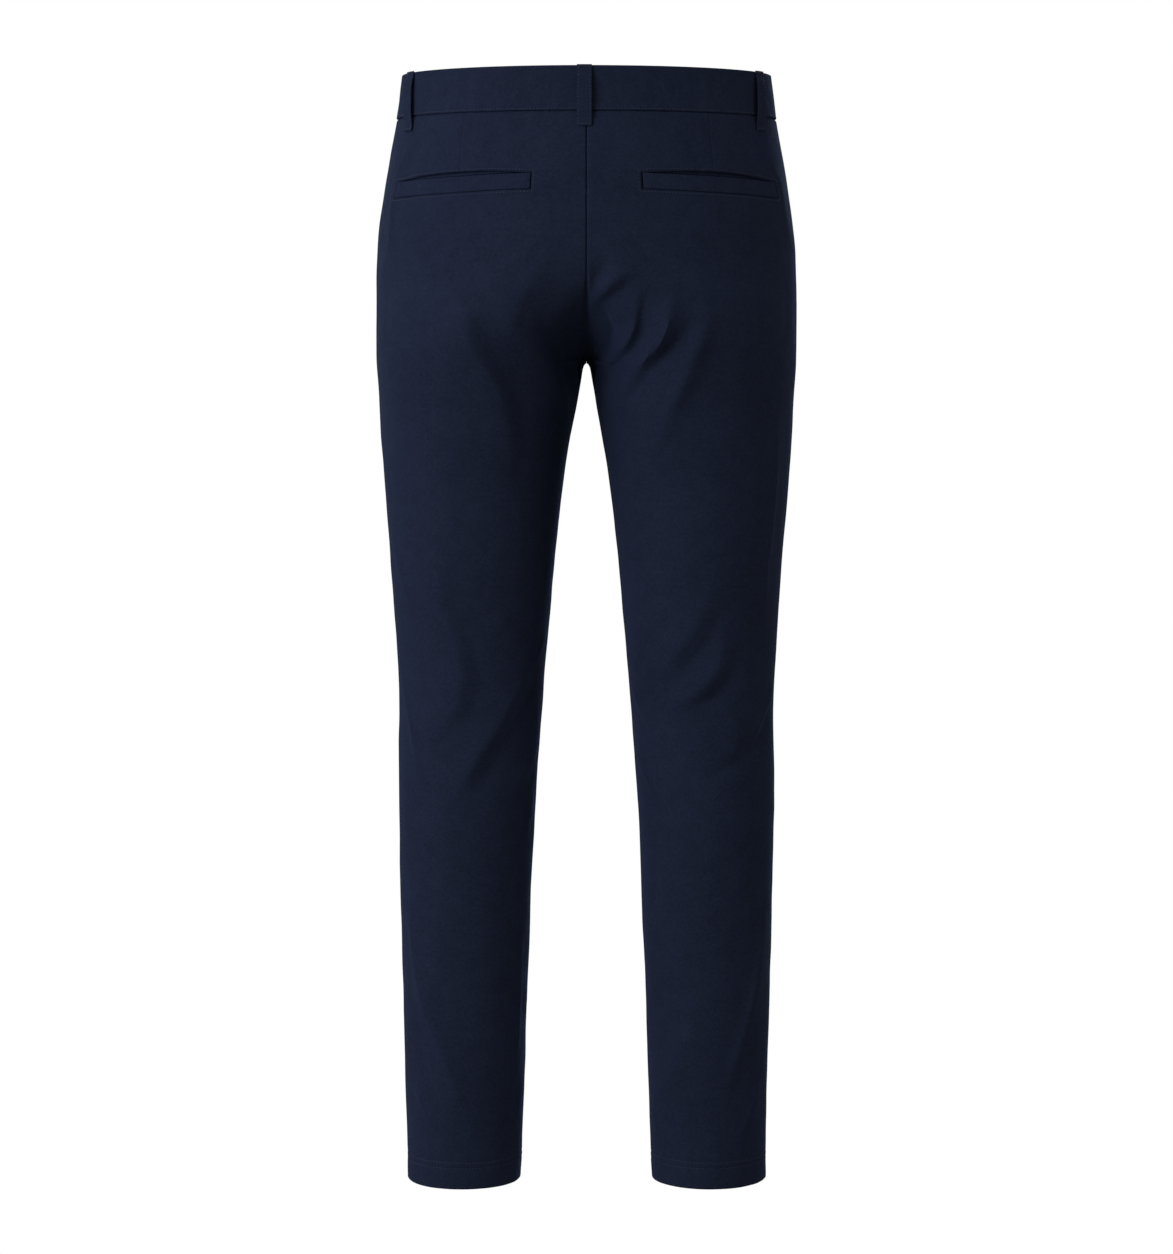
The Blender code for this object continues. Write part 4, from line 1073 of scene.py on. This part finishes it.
def button_pieces():
    """The button, dished and with four holes, and its crossed thread."""
    matrix = button_frame()
    profile = ((0, 1.55), (2.2, 1.6), (4.0, 1.75), (5.0, 2.2), (5.6, 2.62), (6.5, 2.88),
               (7.3, 2.9), (8.0, 2.65), (8.45, 2.15), (8.5, 1.4), (8.1, 0.6), (7.2, 0.05),
               (4.0, 0.0), (0, 0.0))
    hole_profile = ((0, 4.0), (0.85, 4.0), (0.85, -1.0), (0, -1.0))
    from_middle = 1.4
    button = turned_solid("waist_button_face", profile, 48, matrix)
    for x, y in ((-1, -1), (1, -1), (1, 1), (-1, 1)):
        shift = Matrix.Translation((x * from_middle * MM, y * from_middle * MM, 0))
        cutter = turned_solid("cutter", hole_profile, 16, matrix @ shift)
        cut = button.modifiers.new("Hole", "BOOLEAN")
        cut.operation, cut.object, cut.solver = "DIFFERENCE", cutter, "EXACT"
        graph = bpy.context.evaluated_depsgraph_get()
        mesh = bpy.data.meshes.new_from_object(button.evaluated_get(graph))
        button.modifiers.clear()
        button.data = mesh
        bpy.data.objects.remove(cutter)
    curve = bpy.data.curves.new("waist_button_thread", "CURVE")
    curve.dimensions = "3D"
    curve.bevel_depth, curve.bevel_resolution = 0.16 * MM, 2
    for shift in (np.arange(6) - 2.5) * 0.16:
        middle = Vector((-shift * 0.6, shift, 0.6))
        for sign in (-1, 1):
            half = Vector((1, sign, 0)) * from_middle
            spline = curve.splines.new("BEZIER")
            spline.bezier_points.add(2)
            places = (middle - half, middle + Vector((0, 0, 1.45)), middle + half)
            for point, place in zip(spline.bezier_points, places):
                point.co = matrix @ (place * MM)
                point.handle_left_type = point.handle_right_type = "AUTO"
    curve.materials.append(THREAD)
    return button, add_object("waist_button_thread", curve)


Cut = namedtuple("Cut", "kind build stitches flat area rests_on")
CUTS = (
    Cut("back", back_panel, back_stitches, (0.343, 1.0), 0.233, "waistband"),
    Cut("front", front_panel, front_stitches, (0.336, 1.0), 0.226, "waistband"),
    Cut("waistband", waistband, band_stitches, (0.48, 0.042), 0.0198, None),
    Cut("back_welt", back_welt, None, (0.146, 0.0145), 0.0020, "back"),
    Cut("back_facing", back_facing, None, (0.166, 0.038), 0.0062, "back"),
    Cut("front_facing", front_facing, None, (0.08, 0.172), 0.0088, "waistband"),
)


def dress(piece, node, rows, side):
    """Seats one cloth piece on the solid that it stands for, with its stitches on it."""
    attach(piece, "root")
    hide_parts(node)
    if rows:
        stitches = stitching(node + "_stitches", rows, side)
        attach(stitches, "root")


for half, sign in (("left", LEFT), ("right", RIGHT)):
    for cut in CUTS:
        node = f"{cut.kind}_{half}"
        dress(cut.build(sign, node + "_cloth"), node, cut.stitches(sign) if cut.stitches else [],
              sign)

for loop in LOOPS:
    dress(belt_loop(loop), loop.name, loop_stitches(loop), loop.side)

button, button_thread = button_pieces()
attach(button, "root")
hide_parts("waist_button")
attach(button_thread, "root")

for node, material in (("fly_zip", TAPE), ("zip_slider", METAL)):
    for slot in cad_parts[node].material_slots:
        slot.material = material

# ---------------------------------------------------------------- stage, light and camera
WHITE = bpy.data.materials.new("White stage")
WHITE.use_nodes = True
glow = WHITE.node_tree.nodes.new("ShaderNodeEmission")
glow.inputs["Color"].default_value = (1, 1, 1, 1)
output = WHITE.node_tree.nodes["Material Output"]
WHITE.node_tree.links.new(glow.outputs["Emission"], output.inputs["Surface"])


def stage_piece(name, verts, faces, location):
    """A white backing that neither lights nor shades the trousers."""
    mesh = bpy.data.meshes.new(name)
    mesh.from_pydata(verts, [], faces)
    mesh.materials.append(WHITE)
    obj = add_object(name, mesh, location)
    for ray in ("visible_diffuse", "visible_glossy", "visible_shadow", "visible_transmission"):
        setattr(obj, ray, False)


stage_piece("floor", [(-9, -9, 0), (9, -9, 0), (9, 9, 0), (-9, 9, 0)], [(0, 1, 2, 3)],
            (0, 0, HEM * MM - 0.045))

SIDES, RINGS_UP, RADIUS = 48, 12, 12
dome_verts = [(RADIUS * math.cos(b) * math.cos(a), RADIUS * math.cos(b) * math.sin(a),
               RADIUS * math.sin(b))
              for b in np.linspace(-math.pi / 2, math.pi / 2, RINGS_UP + 1)
              for a in np.linspace(0, 2 * math.pi, SIDES, endpoint=False)]
dome_faces = [(r * SIDES + c, r * SIDES + n, (r + 1) * SIDES + n, (r + 1) * SIDES + c)
              for r in range(RINGS_UP) for c in range(SIDES) for n in [(c + 1) % SIDES]]
stage_piece("backdrop", dome_verts, dome_faces, (0, 0, -0.5))

# A row for each light: where it stands, how big it is and how bright.
Light = namedtuple("Light", "name place size power")
LIGHTS = (
    Light("key", (2.6, 1.85, 0.6), (1.4, 2.4), 50.6),
    Light("key_soft", (1.9, 2.7, 0.8), (1.4, 2.0), 26.4),
    Light("edge_left", (3.2, 0.2, 0.2), (1.0, 2.4), 13.2),
    Light("edge_behind", (1.6, -2.8, 0.8), (1.6, 2.0), 9.9),
    Light("fill_right", (-3.1, 0.8, 0.4), (0.8, 2.2), 15.4),
    Light("front", (-0.8, -2.7, 1.9), (1.1, 1.2), 100.0),
)
for light in LIGHTS:
    lamp = bpy.data.lights.new(light.name, "AREA")
    lamp.shape = "RECTANGLE"
    lamp.size, lamp.size_y = light.size
    lamp.energy = light.power
    obj = add_object(light.name, lamp, light.place)
    obj.rotation_euler = (Vector((0, 0, -0.5)) - obj.location).to_track_quat("-Z", "Y").to_euler()

world = bpy.data.worlds.new("Studio")
world.use_nodes = True
background = world.node_tree.nodes["Background"]
background.inputs["Color"].default_value = (1.0, 0.92, 0.74, 1)
background.inputs["Strength"].default_value = 0.235
bpy.context.scene.world = world
bpy.context.scene.view_settings.view_transform = "Standard"

camera = bpy.data.cameras.new("camera")
camera.sensor_width = camera.sensor_height = 36.0
camera.lens = 107.55
view = add_object("camera", camera, (0, 3.5, -0.1857))
view.rotation_euler = (math.radians(85), 0, math.radians(180))
bpy.context.scene.camera = view
